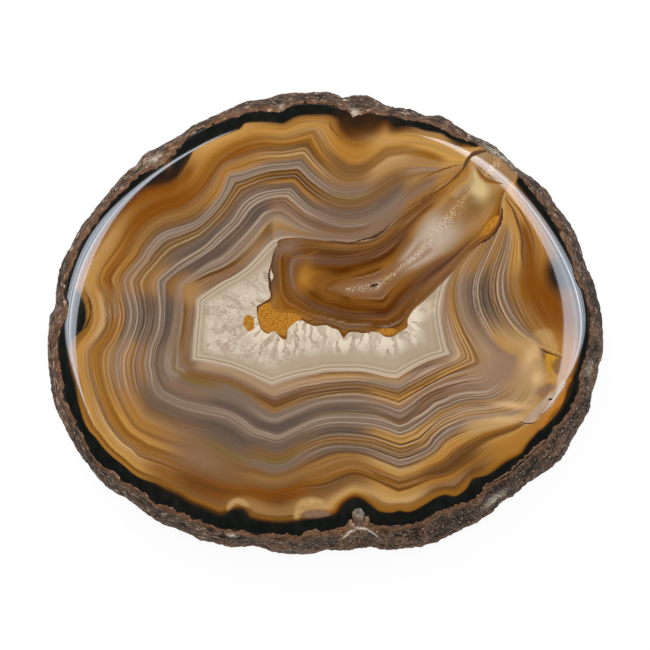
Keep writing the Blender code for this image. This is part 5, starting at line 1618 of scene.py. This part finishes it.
def makeKnobs():
    points, faces, warmth = [], [], []
    for seed, (place, length, width, height, turn, warm) in enumerate(knobs["shapes"]):
        faces += knobFaces(sum(len(p) for p in points))
        points.append(knobPoints(place, length, width, height, turn, 40 + seed))
        warmth.append(np.full(len(points[-1]), warm))
    points = np.concatenate(points)
    desk = Desk("rough_quartz")
    where = desk.place((1000, 420, 1000))
    haze, veins = desk.noise(where, 1.2, 3.0, 0.6, 0.6), desk.noise(where, 2.4, 3.0, 0.7, 0.6)
    colour = desk.mix(haze.step(0.3, 0.7), linear((72, 54, 40)), linear((122, 98, 78)))
    # pale streaks along the veins: partly the quartz's milky veins, partly painted highlights
    colour = desk.mix(veins.step(0.56, 0.7) * 0.7, colour, linear((174, 156, 136)))
    colour = desk.mix(veins.step(0.42, 0.3) * 0.7, colour, linear((62, 46, 34)))
    amber = desk.mix(veins.step(0.35, 0.6), linear((78, 52, 28)), linear((150, 108, 66)))
    colour = desk.mix(desk.attribute("warmth"), colour, amber)
    piece = newPiece("quartz_knobs", points, faces, desk.finish(colour, 0.32, desk.bump(veins, 0.5, 0.0003)))
    store(piece, "warmth", np.concatenate(warmth))
    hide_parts("agate_slice")
    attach(piece, "root")
    print("knobs made:", len(points), "points")


# The rind: a closed ring round the slab

rind = {
    "columns": 1200,
    "rows": 64,
    "startAngle": 38.0,
    "endAngle": 62.0,
    "girthSwell": 1.5,
    "lumps": 0.42,
    "wrinkles": 0.40,
    "pits": 0.26,
    "grain": 0.09,
    "lipGrain": 0.28,
    "lipWaves": 0.2,
    "wrapHeight": 22,  # how long the way down the rind counts as, in mm, for marks drawn out along it
    "room": (1.2, 1.4),  # where points near the CAD box's sides start to be held in, in mm
}

# single forms of the rind: angle, share of the way down, spreads, and how far it stands out
rindForms = [
    (-81.5, 0.34, 3.4, 0.16, -2.1),
    (-86.0, 0.13, 1.8, 0.06, 0.5),
    (-77.0, 0.13, 1.8, 0.06, 0.5),
    (-46.0, 0.30, 4.5, 0.10, 0.6),
    (-38.0, 0.55, 3.0, 0.14, -0.7),
    (-111.0, 0.22, 2.2, 0.09, 0.5),
    (-126.0, 0.55, 4.0, 0.13, -0.8),
    (-150.0, 0.40, 5.0, 0.10, 0.4),
    (163.0, 0.60, 4.0, 0.16, -0.7),
    (138.0, 0.25, 3.0, 0.12, 0.5),
    (112.0, 0.60, 4.5, 0.16, -0.8),
    (84.0, 0.18, 1.8, 0.10, 0.4),
    (60.0, 0.55, 4.0, 0.15, -0.7),
    (35.0, 0.60, 3.0, 0.16, -0.6),
    (8.0, 0.42, 3.6, 0.12, 0.4),
    (-18.0, 0.62, 4.0, 0.14, -0.8),
]


def degreesFrom(middle, degrees):
    # the shorter way round from the middle, from -180 to 180
    return (degrees - middle + 180) % 360 - 180


def rindProfile(share, edge, girth, top, angles):
    # from the face's edge out along a quarter turn to the girth, then tucking in to the saw cut
    start, end = math.radians(rind["startAngle"]), math.radians(rind["endAngle"])
    above = share <= 0.5
    turn = np.where(above, start + (math.pi / 2 - start) * share / 0.5, end * (share - 0.5) / 0.5)
    out = np.where(above, (np.sin(turn) - math.sin(start)) / (1 - math.sin(start)), 1.0)
    tuck = np.where(above, 0.0, (1 - np.cos(turn)) / (1 - math.cos(end)))
    low, high = slab["girthHeight"], top
    height = np.where(
        above,
        low + (high - low) * np.cos(turn) / math.cos(start),
        low * (1 - np.sin(turn) / math.sin(end)),
    )
    reach = edge + (girth - edge) * out - slab["backInset"] * tuck
    return reach, height + rind["girthSwell"] * np.sin(angles) * np.sin(math.pi * share)


def grainyShare(angles):
    # how far the rind is grainy rather than flaky: 1 below and at the right, less elsewhere
    return 0.3 + 0.7 * np.exp(-((degreesFrom(-52, np.degrees(angles)) / 62) ** 4))


def rindRelief(u, share, angles):
    # broad lumps, wrinkles drawn out along the rind, pits and grain, plus the single forms
    drift = share + 0.05 * latticeNoise(u, share, 60, 2, 5)
    lumps = latticeNoise(u, share, 36, 3, 1) + 0.6 * latticeNoise(u, share, 84, 6, 2)
    folds = 1 - np.abs(latticeNoise(u, drift, 110, 13, 3)) * 2
    creases = 1 - np.abs(latticeNoise(u, drift, 260, 24, 4)) * 2
    pits = latticeNoise(u, share, 420, 24, 6) + 0.6 * latticeNoise(u, share, 800, 44, 7)
    grain = latticeNoise(u, share, 1150, 62, 8)
    relief = rind["lumps"] * (lumps - 0.3) + rind["wrinkles"] * (0.6 * folds + 0.4 * creases - 0.4)
    rough = rind["pits"] * (np.minimum(pits, 0.1) - 0.1) + rind["grain"] * grain
    relief = relief + rough * grainyShare(angles)
    # fine keeps the small relief and a share of the sunken forms; it is used only to paint shade into the
    # rind's pits and recesses
    fine = relief.copy()
    for middle, down, spread, spreadDown, push in rindForms:
        apart = degreesFrom(middle, np.degrees(angles))
        form = push * np.exp(-((apart / spread) ** 2) - ((share - down) / spreadDown) ** 2)
        relief = relief + form
        fine = fine + np.minimum(form, 0) * 0.35
    return relief, fine


def heldIn(values, limit, room):
    # eases what comes nearer than room to the limit, so that it never passes it
    size = np.abs(values)
    past = np.maximum(size - (limit - room), 0)
    return np.sign(values) * (np.minimum(size, limit - room) + room * np.tanh(past / room))


def rindPoints():
    angles = np.linspace(-math.pi, math.pi, rind["columns"], endpoint=False)[:, None]
    share = np.linspace(0, 1, rind["rows"])[None, :]
    u = (angles / (2 * math.pi) + 0.5) + 0 * share
    edge = radiusRound(faceLine, angles[:, 0])[:, None]
    girth = radiusRound(rindLine, angles[:, 0])[:, None]
    top = np.minimum(faceHeight(edge * np.cos(angles), edge * np.sin(angles)), slab["edgeHeight"] + 0.6)
    reach, height = rindProfile(share, edge, girth, top, angles)
    relief, fine = rindRelief(u, share + 0 * angles, angles + 0 * share)
    fade = np.clip(share / 0.06, 0.25, 1) * np.clip((1 - share) / 0.05, 0, 1)
    slope = np.clip(1 - share * 2.2, 0, 0.8)
    reach = reach + relief * fade * np.sqrt(1 - slope**2)
    height = height + relief * fade * slope
    # the crumbly lip just laps over the polished edge
    turn, still = u[:, :1], 0 * u[:, :1]
    lip = rind["lipGrain"] * latticeNoise(turn, still, 520, 1, 11)
    lip = lip + rind["lipWaves"] * latticeNoise(turn, still, 180, 1, 12)
    for middle, push, spread in laps:
        apart = degreesFrom(middle, np.degrees(angles))
        lip = lip - push * np.exp(-((apart / spread) ** 4))
    lipReach = edge - 0.05 + lip
    lipX, lipY = lipReach * np.cos(angles), lipReach * np.sin(angles)
    lipHeight = faceHeight(lipX, lipY)
    back = backRadius(angles[:, 0])[:, None] - slab["rindThickness"]
    rows = [
        (lipReach - 0.35, lipHeight - 0.5),
        (lipReach, lipHeight + 0.03),
        (lipReach + 0.25, lipHeight + 0.06 + 0.05 * lip),
    ]
    before = [np.concatenate(pair, 1) for pair in zip(*rows)]
    after = [(back + 0.8, 0 * back), (back, 0 * back), (back - 0.5, 0 * back + 0.6)]
    closing = [np.concatenate(pair, 1) for pair in zip(*after)]
    reach = np.concatenate([before[0], reach[:, 1:], closing[0]], 1)
    height = np.concatenate([before[1], height[:, 1:], closing[1]], 1)
    x = heldIn(reach * np.cos(angles), cadBox[1][0] / mm, rind["room"][0])
    y = heldIn(reach * np.sin(angles), cadBox[1][1] / mm, rind["room"][1])
    points = np.stack([x, y, height], -1)
    edgeRows = np.zeros((rind["columns"], 3))
    down = np.concatenate([edgeRows, share[:, 1:] + 0 * angles, edgeRows + 1], 1)
    hollow = np.concatenate([edgeRows, fine[:, 1:], edgeRows], 1)
    return points, down, hollow


def ringFaces(columns, rows):
    # quads between neighbouring columns, closed both ways round
    i = np.arange(columns)[:, None]
    j = np.arange(rows)[None, :]
    nextI, nextJ = (i + 1) % columns, (j + 1) % rows
    corners = [i * rows + j, i * rows + nextJ, nextI * rows + nextJ, nextI * rows + j]
    return np.stack(corners, -1).reshape(-1, 4)


def rindMaterial():
    # wrap has the outline in x and y and the way down in z, so marks can be drawn out along it
    desk = Desk("rough_rind")
    where = desk.place()
    wrap = desk.attribute("wrap", "Vector")
    hollow, down, grainy = desk.attribute("hollow"), desk.attribute("down"), desk.attribute("grainy")
    grain = desk.noise(where, 1.9, 4.0, 0.75)
    ridges = desk.noise(desk.scaled(wrap, (0.30, 0.30, 0.42)), 1.0, 3.0, 0.65, 0.4)
    flakes = desk.noise(desk.scaled(wrap, (0.6, 0.6, 1.6)), 1.0, 3.0, 0.7, 0.3)
    fine = desk.noise(where, 2.6, 2.0, 0.6)
    share = grainy.step(0.3, 1.0) * 0.5 + 0.1
    flakes = flakes * (1 - share) + fine * share
    clouds = desk.noise(where, 0.2, 3.0)
    specks = desk.cells(where, 2.1)
    colour = desk.mix(ridges.step(0.38, 0.6), linear((58, 42, 31)), linear((106, 79, 59)))
    colour = desk.mix(clouds.step(0.52, 0.66) * 0.45, colour, linear((120, 80, 50)))
    # painted shade: the colour darkens where the rind dips into pits and sunken recesses
    colour = desk.mix(hollow.step(-0.05, -0.5) * 0.7, colour, linear((34, 26, 18)))
    # the pale flakes thin out toward the tucked-in underside; their brightest tips are partly pale crust and
    # partly painted glints
    flank = down.step(0.75, 0.3) * 0.6 + 0.4
    colour = desk.mix(flakes.step(0.54, 0.61) * flank * 0.8, colour, linear((172, 138, 108)))
    colour = desk.mix(flakes.step(0.61, 0.67) * flank * 0.85, colour, linear((236, 220, 198)))
    colour = desk.mix(flakes.step(0.47, 0.38) * 0.75, colour, linear((36, 25, 17)))
    rusty = down.step(0.13, 0.02) * grain.step(0.42, 0.56)
    colour = desk.mix(rusty * 0.7, colour, linear((146, 92, 42)))
    outer = down.step(0.35, 0.5) * clouds.step(0.45, 0.6) * grainy
    colour = desk.mix(outer * 0.3, colour, linear((140, 80, 40)))
    pale = specks.step(0.2, 0.08) * clouds.step(0.4, 0.55) * grainy
    colour = desk.mix(pale * 0.8, colour, linear((222, 198, 168)))
    crust = desk.attribute("crust") * (flakes * 0.5 + grain * 0.5).step(0.42, 0.52)
    colour = desk.mix(crust.upTo(1.0), colour, linear((232, 218, 196)))
    height = ridges + flakes * 0.8 + grain * 0.3
    return desk.finish(colour, 0.7, desk.bump(height, 0.9, 0.0007), IOR=1.35)


# Where the rind laps further over the face: middle angle, reach in mm, spread in degrees
laps = [(135.5, 0.9, 4.5), (-38.0, 0.7, 9.0), (104.0, 0.4, 4.0), (-81.7, 0.5, 4.0)]

# pale crust on the rind: angle, share of the way down, spreads, strength
crusts = [
    (82.0, 0.04, 1.2, 0.05, 0.9),
    (137.5, 0.10, 1.6, 0.06, 0.8),
    (102.0, 0.05, 0.8, 0.04, 0.6),
    (-12.0, 0.14, 1.6, 0.06, 0.6),
    (-48.0, 0.24, 3.0, 0.05, 0.7),
    (-112.5, 0.12, 1.0, 0.05, 0.9),
    (43.0, 0.16, 4.5, 0.16, 0.7),
]

# a pale ledge arches over the hollow below the knobs: its middle angle, half width, top and drop
ledge = {"middle": -81.7, "half": 4.6, "top": 0.04, "drop": 0.15, "thick": 0.02}


def ledgeShare(angles, down):
    # strong where the way down is near the arch, top + drop (a / half)^2
    apart = (angles - ledge["middle"]) / ledge["half"]
    arch = ledge["top"] + ledge["drop"] * apart**2
    return np.exp(-(((down - arch) / ledge["thick"]) ** 2) - apart**6)


def makeRind():
    points, down, hollow = rindPoints()
    columns, rows = down.shape
    faces = ringFaces(columns, rows)
    flat = points.reshape(-1, 3)
    piece = newPiece("rough_rind", flat, faces.tolist(), rindMaterial())
    angles = np.degrees(np.arctan2(flat[:, 1], flat[:, 0]))
    crust = np.zeros(len(flat))
    for middle, low, spread, spreadDown, strength in crusts:
        apart = degreesFrom(middle, angles)
        near = np.exp(-((apart / spread) ** 2) - ((down.ravel() - low) / spreadDown) ** 2)
        crust = np.maximum(crust, strength * near)
    crust = np.maximum(crust, ledgeShare(angles, down.ravel()) * 1.3)
    store(piece, "grainy", grainyShare(np.radians(angles)))
    store(piece, "down", down.ravel())
    store(piece, "hollow", hollow.ravel())
    store(piece, "crust", crust)
    wrap = [flat[:, 0], flat[:, 1], down.ravel() * rind["wrapHeight"], 0 * angles]
    store(piece, "wrap", np.stack(wrap, 1))
    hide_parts("agate_slice")
    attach(piece, "root")
    print("rind made:", len(flat), "points")


# Floor, lights and camera

studio = {
    "floorSize": 2200.0,
    "gap": 0.03,
    "floorTone": (252, 252, 252),
    "floorGlow": 0.93,
    "floorTurns": 720,
    "ambient": 0.80,
    "sheenSky": 0.02,
    "boxDistance": 700.0,
    "boxCells": 40,
    "boxSteps": 8,
}

# Softboxes overhead, which show as the two crescents on the rolled border. Each is a strip on a
# sphere round the slice, given as azimuth, inner and outer polar angle from one tip to the other.
# glow is its brightness from the inner side to the outer.
softboxes = {
    "left_softbox": {
        "strip": [
            (186, 28, 28.5), (178, 28, 30), (171, 28.5, 36), (166, 29, 50), (160, 30.5, 62), (153, 33, 69),
            (145, 35, 72), (137, 38.5, 67), (130, 42, 59), (122, 44.5, 53), (116, 44.5, 49), (111, 44, 46.5),
            (107, 43, 43.5),
        ],
        "glow": [
            (0, 1.3), (0.08, 1.0), (0.22, 1.2), (0.34, 1.6), (0.40, 2.4), (0.44, 2.6), (0.48, 0.9),
            (0.56, 0.8),
            (0.60, 1.4), (0.64, 2.6), (0.68, 1.0), (0.74, 0.7), (0.79, 1.7), (0.83, 0.6), (0.9, 1.0),
            (1, 0.7),
        ],
        "tint": (5.9, 6.3, 7.0),
    },
    "right_softbox": {
        "strip": [
            (77, 43.2, 44), (74, 41.2, 46.8), (70, 38.5, 47.8), (65, 35.5, 48), (57, 33.5, 49), (49, 32, 52),
            (42, 29.5, 57), (34, 25.5, 64), (26, 22.5, 68), (18, 22, 66), (11, 22, 58), (5, 23.5, 45),
            (0, 26, 31),
        ],
        "glow": [
            (0, 0.95), (0.25, 1.1), (0.38, 1.5), (0.46, 1.2), (0.55, 1.0), (0.6, 1.5), (0.65, 3.6),
            (0.69, 1.2),
            (0.75, 0.6), (0.79, 2.4), (0.82, 0.6), (0.88, 0.4), (0.92, 1.6), (0.95, 0.5), (1, 0.5),
        ],
        "tint": (5.6, 6.1, 6.8),
    },
}

# azimuth and polar place each lamp over the slice
lamps = {
    "soft_key": {"azimuth": 115.0, "polar": 38.0, "distance": 900.0, "size": 420.0, "power": 2.6},
}


def makeFloor():
    # a wide ring: the hole under the slice lets its sawn back be seen from below
    count = studio["floorTurns"]
    turns = np.linspace(0, 2 * math.pi, count, endpoint=False)
    reach = np.concatenate([backRadius(turns) - 0.4, np.full(count, studio["floorSize"] / 2)])
    both = np.tile(turns, 2)
    low = np.full(2 * count, -studio["gap"])
    corners = np.stack([reach * np.cos(both), reach * np.sin(both), low], 1)
    here, beside = np.arange(count), (np.arange(count) + 1) % count
    faces = np.stack([here, here + count, beside + count, beside], 1)
    desk = Desk("pale_floor")
    where = desk.place()
    shade = desk.mix(desk.noise(where, 0.02, 2.0), linear((248, 248, 248)), linear(studio["floorTone"]))
    shade = desk.mix(studio["floorGlow"], shade, linear((0, 0, 0)))
    glow = studio["floorGlow"]
    material = desk.finish(shade, 0.9, Emission_Color=(1, 1, 1, 1), Emission_Strength=glow)
    newPiece("floor", corners, faces.tolist(), material)
    print("floor made")


def overhead(azimuth, polar, distance):
    # a place on a sphere round the slice, from its azimuth and its angle off the vertical
    x, y = np.cos(azimuth) * np.sin(polar), np.sin(azimuth) * np.sin(polar)
    return np.stack([x, y, np.cos(polar)], -1) * distance


def makeSoftboxes():
    cells, steps = studio["boxCells"], studio["boxSteps"]
    for name, box in softboxes.items():
        strip = np.array(box["strip"], float)
        inner = smoothLine(strip[:, [0, 1]], False, steps)
        outer = smoothLine(strip[:, [0, 2]], False, steps)
        share = np.linspace(0, 1, cells + 1)[None, :]
        polar = inner[:, 1:] * (1 - share) + outer[:, 1:] * share
        azimuth = inner[:, :1] * (1 - share) + outer[:, :1] * share
        points = overhead(np.radians(azimuth), np.radians(polar), studio["boxDistance"]).reshape(-1, 3)
        here = np.arange((len(strip) - 1) * steps)[:, None] * (cells + 1) + np.arange(cells)[None, :]
        beyond = here + cells + 1
        faces = np.stack([here, here + 1, beyond + 1, beyond], -1).reshape(-1, 4)
        glow = np.interp(share + 0 * polar, *zip(*box["glow"])).reshape(-1, 1)
        glow = glow * np.array([box["tint"] + (0,)])
        desk = Desk(name)
        material = desk.finish((0, 0, 0, 1), 1.0, Emission_Strength=1.0)
        desk.feed(desk.shader.inputs["Emission Color"], desk.attribute("glow", "Color"))
        piece = newPiece(name, points, faces.tolist(), material)
        store(piece, "glow", glow)
        piece.visible_camera = piece.visible_diffuse = piece.visible_shadow = False
    print("softboxes made")


def makeLamps():
    for name, lamp in lamps.items():
        aim = overhead(math.radians(lamp["azimuth"]), math.radians(lamp["polar"]), 1.0)
        data = bpy.data.lights.new(name, "AREA")
        data.shape, data.size, data.energy = "DISK", lamp["size"] * mm, lamp["power"]
        holder = bpy.data.objects.new(name, data)
        holder.location = aim * lamp["distance"] * mm
        holder.rotation_mode = "QUATERNION"
        holder.rotation_quaternion = Vector(aim).to_track_quat("Z", "Y")
        holder.visible_glossy = False
        bpy.context.scene.collection.objects.link(holder)
    print("lamp made")


def makeWorld():
    # the stone mirrors a dark room overhead, while the room's light on it stays pale and even
    world = bpy.data.worlds.new("studio")
    world.use_nodes = True
    tree = world.node_tree
    background = tree.nodes["Background"]
    path = tree.nodes.new("ShaderNodeLightPath")
    mix = tree.nodes.new("ShaderNodeMix")
    mix.inputs[2].default_value = studio["ambient"]
    mix.inputs[3].default_value = studio["sheenSky"]
    tree.links.new(path.outputs["Is Glossy Ray"], mix.inputs[0])
    tree.links.new(mix.outputs[0], background.inputs["Strength"])
    background.inputs["Color"].default_value = (1, 1, 1, 1)
    bpy.context.scene.world = world


def makeCamera():
    data = bpy.data.cameras.new("camera")
    data.lens, data.sensor_width = view["lens"], view["sensor"]
    data.clip_start, data.clip_end = 0.05, 10.0
    lift = math.radians(view["elevation"])
    back = Vector((0, -math.cos(lift), math.sin(lift)))
    camera = bpy.data.objects.new("camera", data)
    camera.location = (Vector(view["lookAt"]) + back * view["distance"]) * mm
    camera.rotation_mode = "QUATERNION"
    camera.rotation_quaternion = back.to_track_quat("Z", "Y")
    bpy.context.scene.collection.objects.link(camera)
    bpy.context.scene.camera = camera
    print("camera made")


makeCamera()
makeFloor()
makeSoftboxes()
makeLamps()
makeWorld()
makeSlab()
makeMarks()
makeKnobs()
makeRind()

bpy.context.scene.view_settings.view_transform = "Standard"
bpy.context.scene.cycles.use_denoising = True
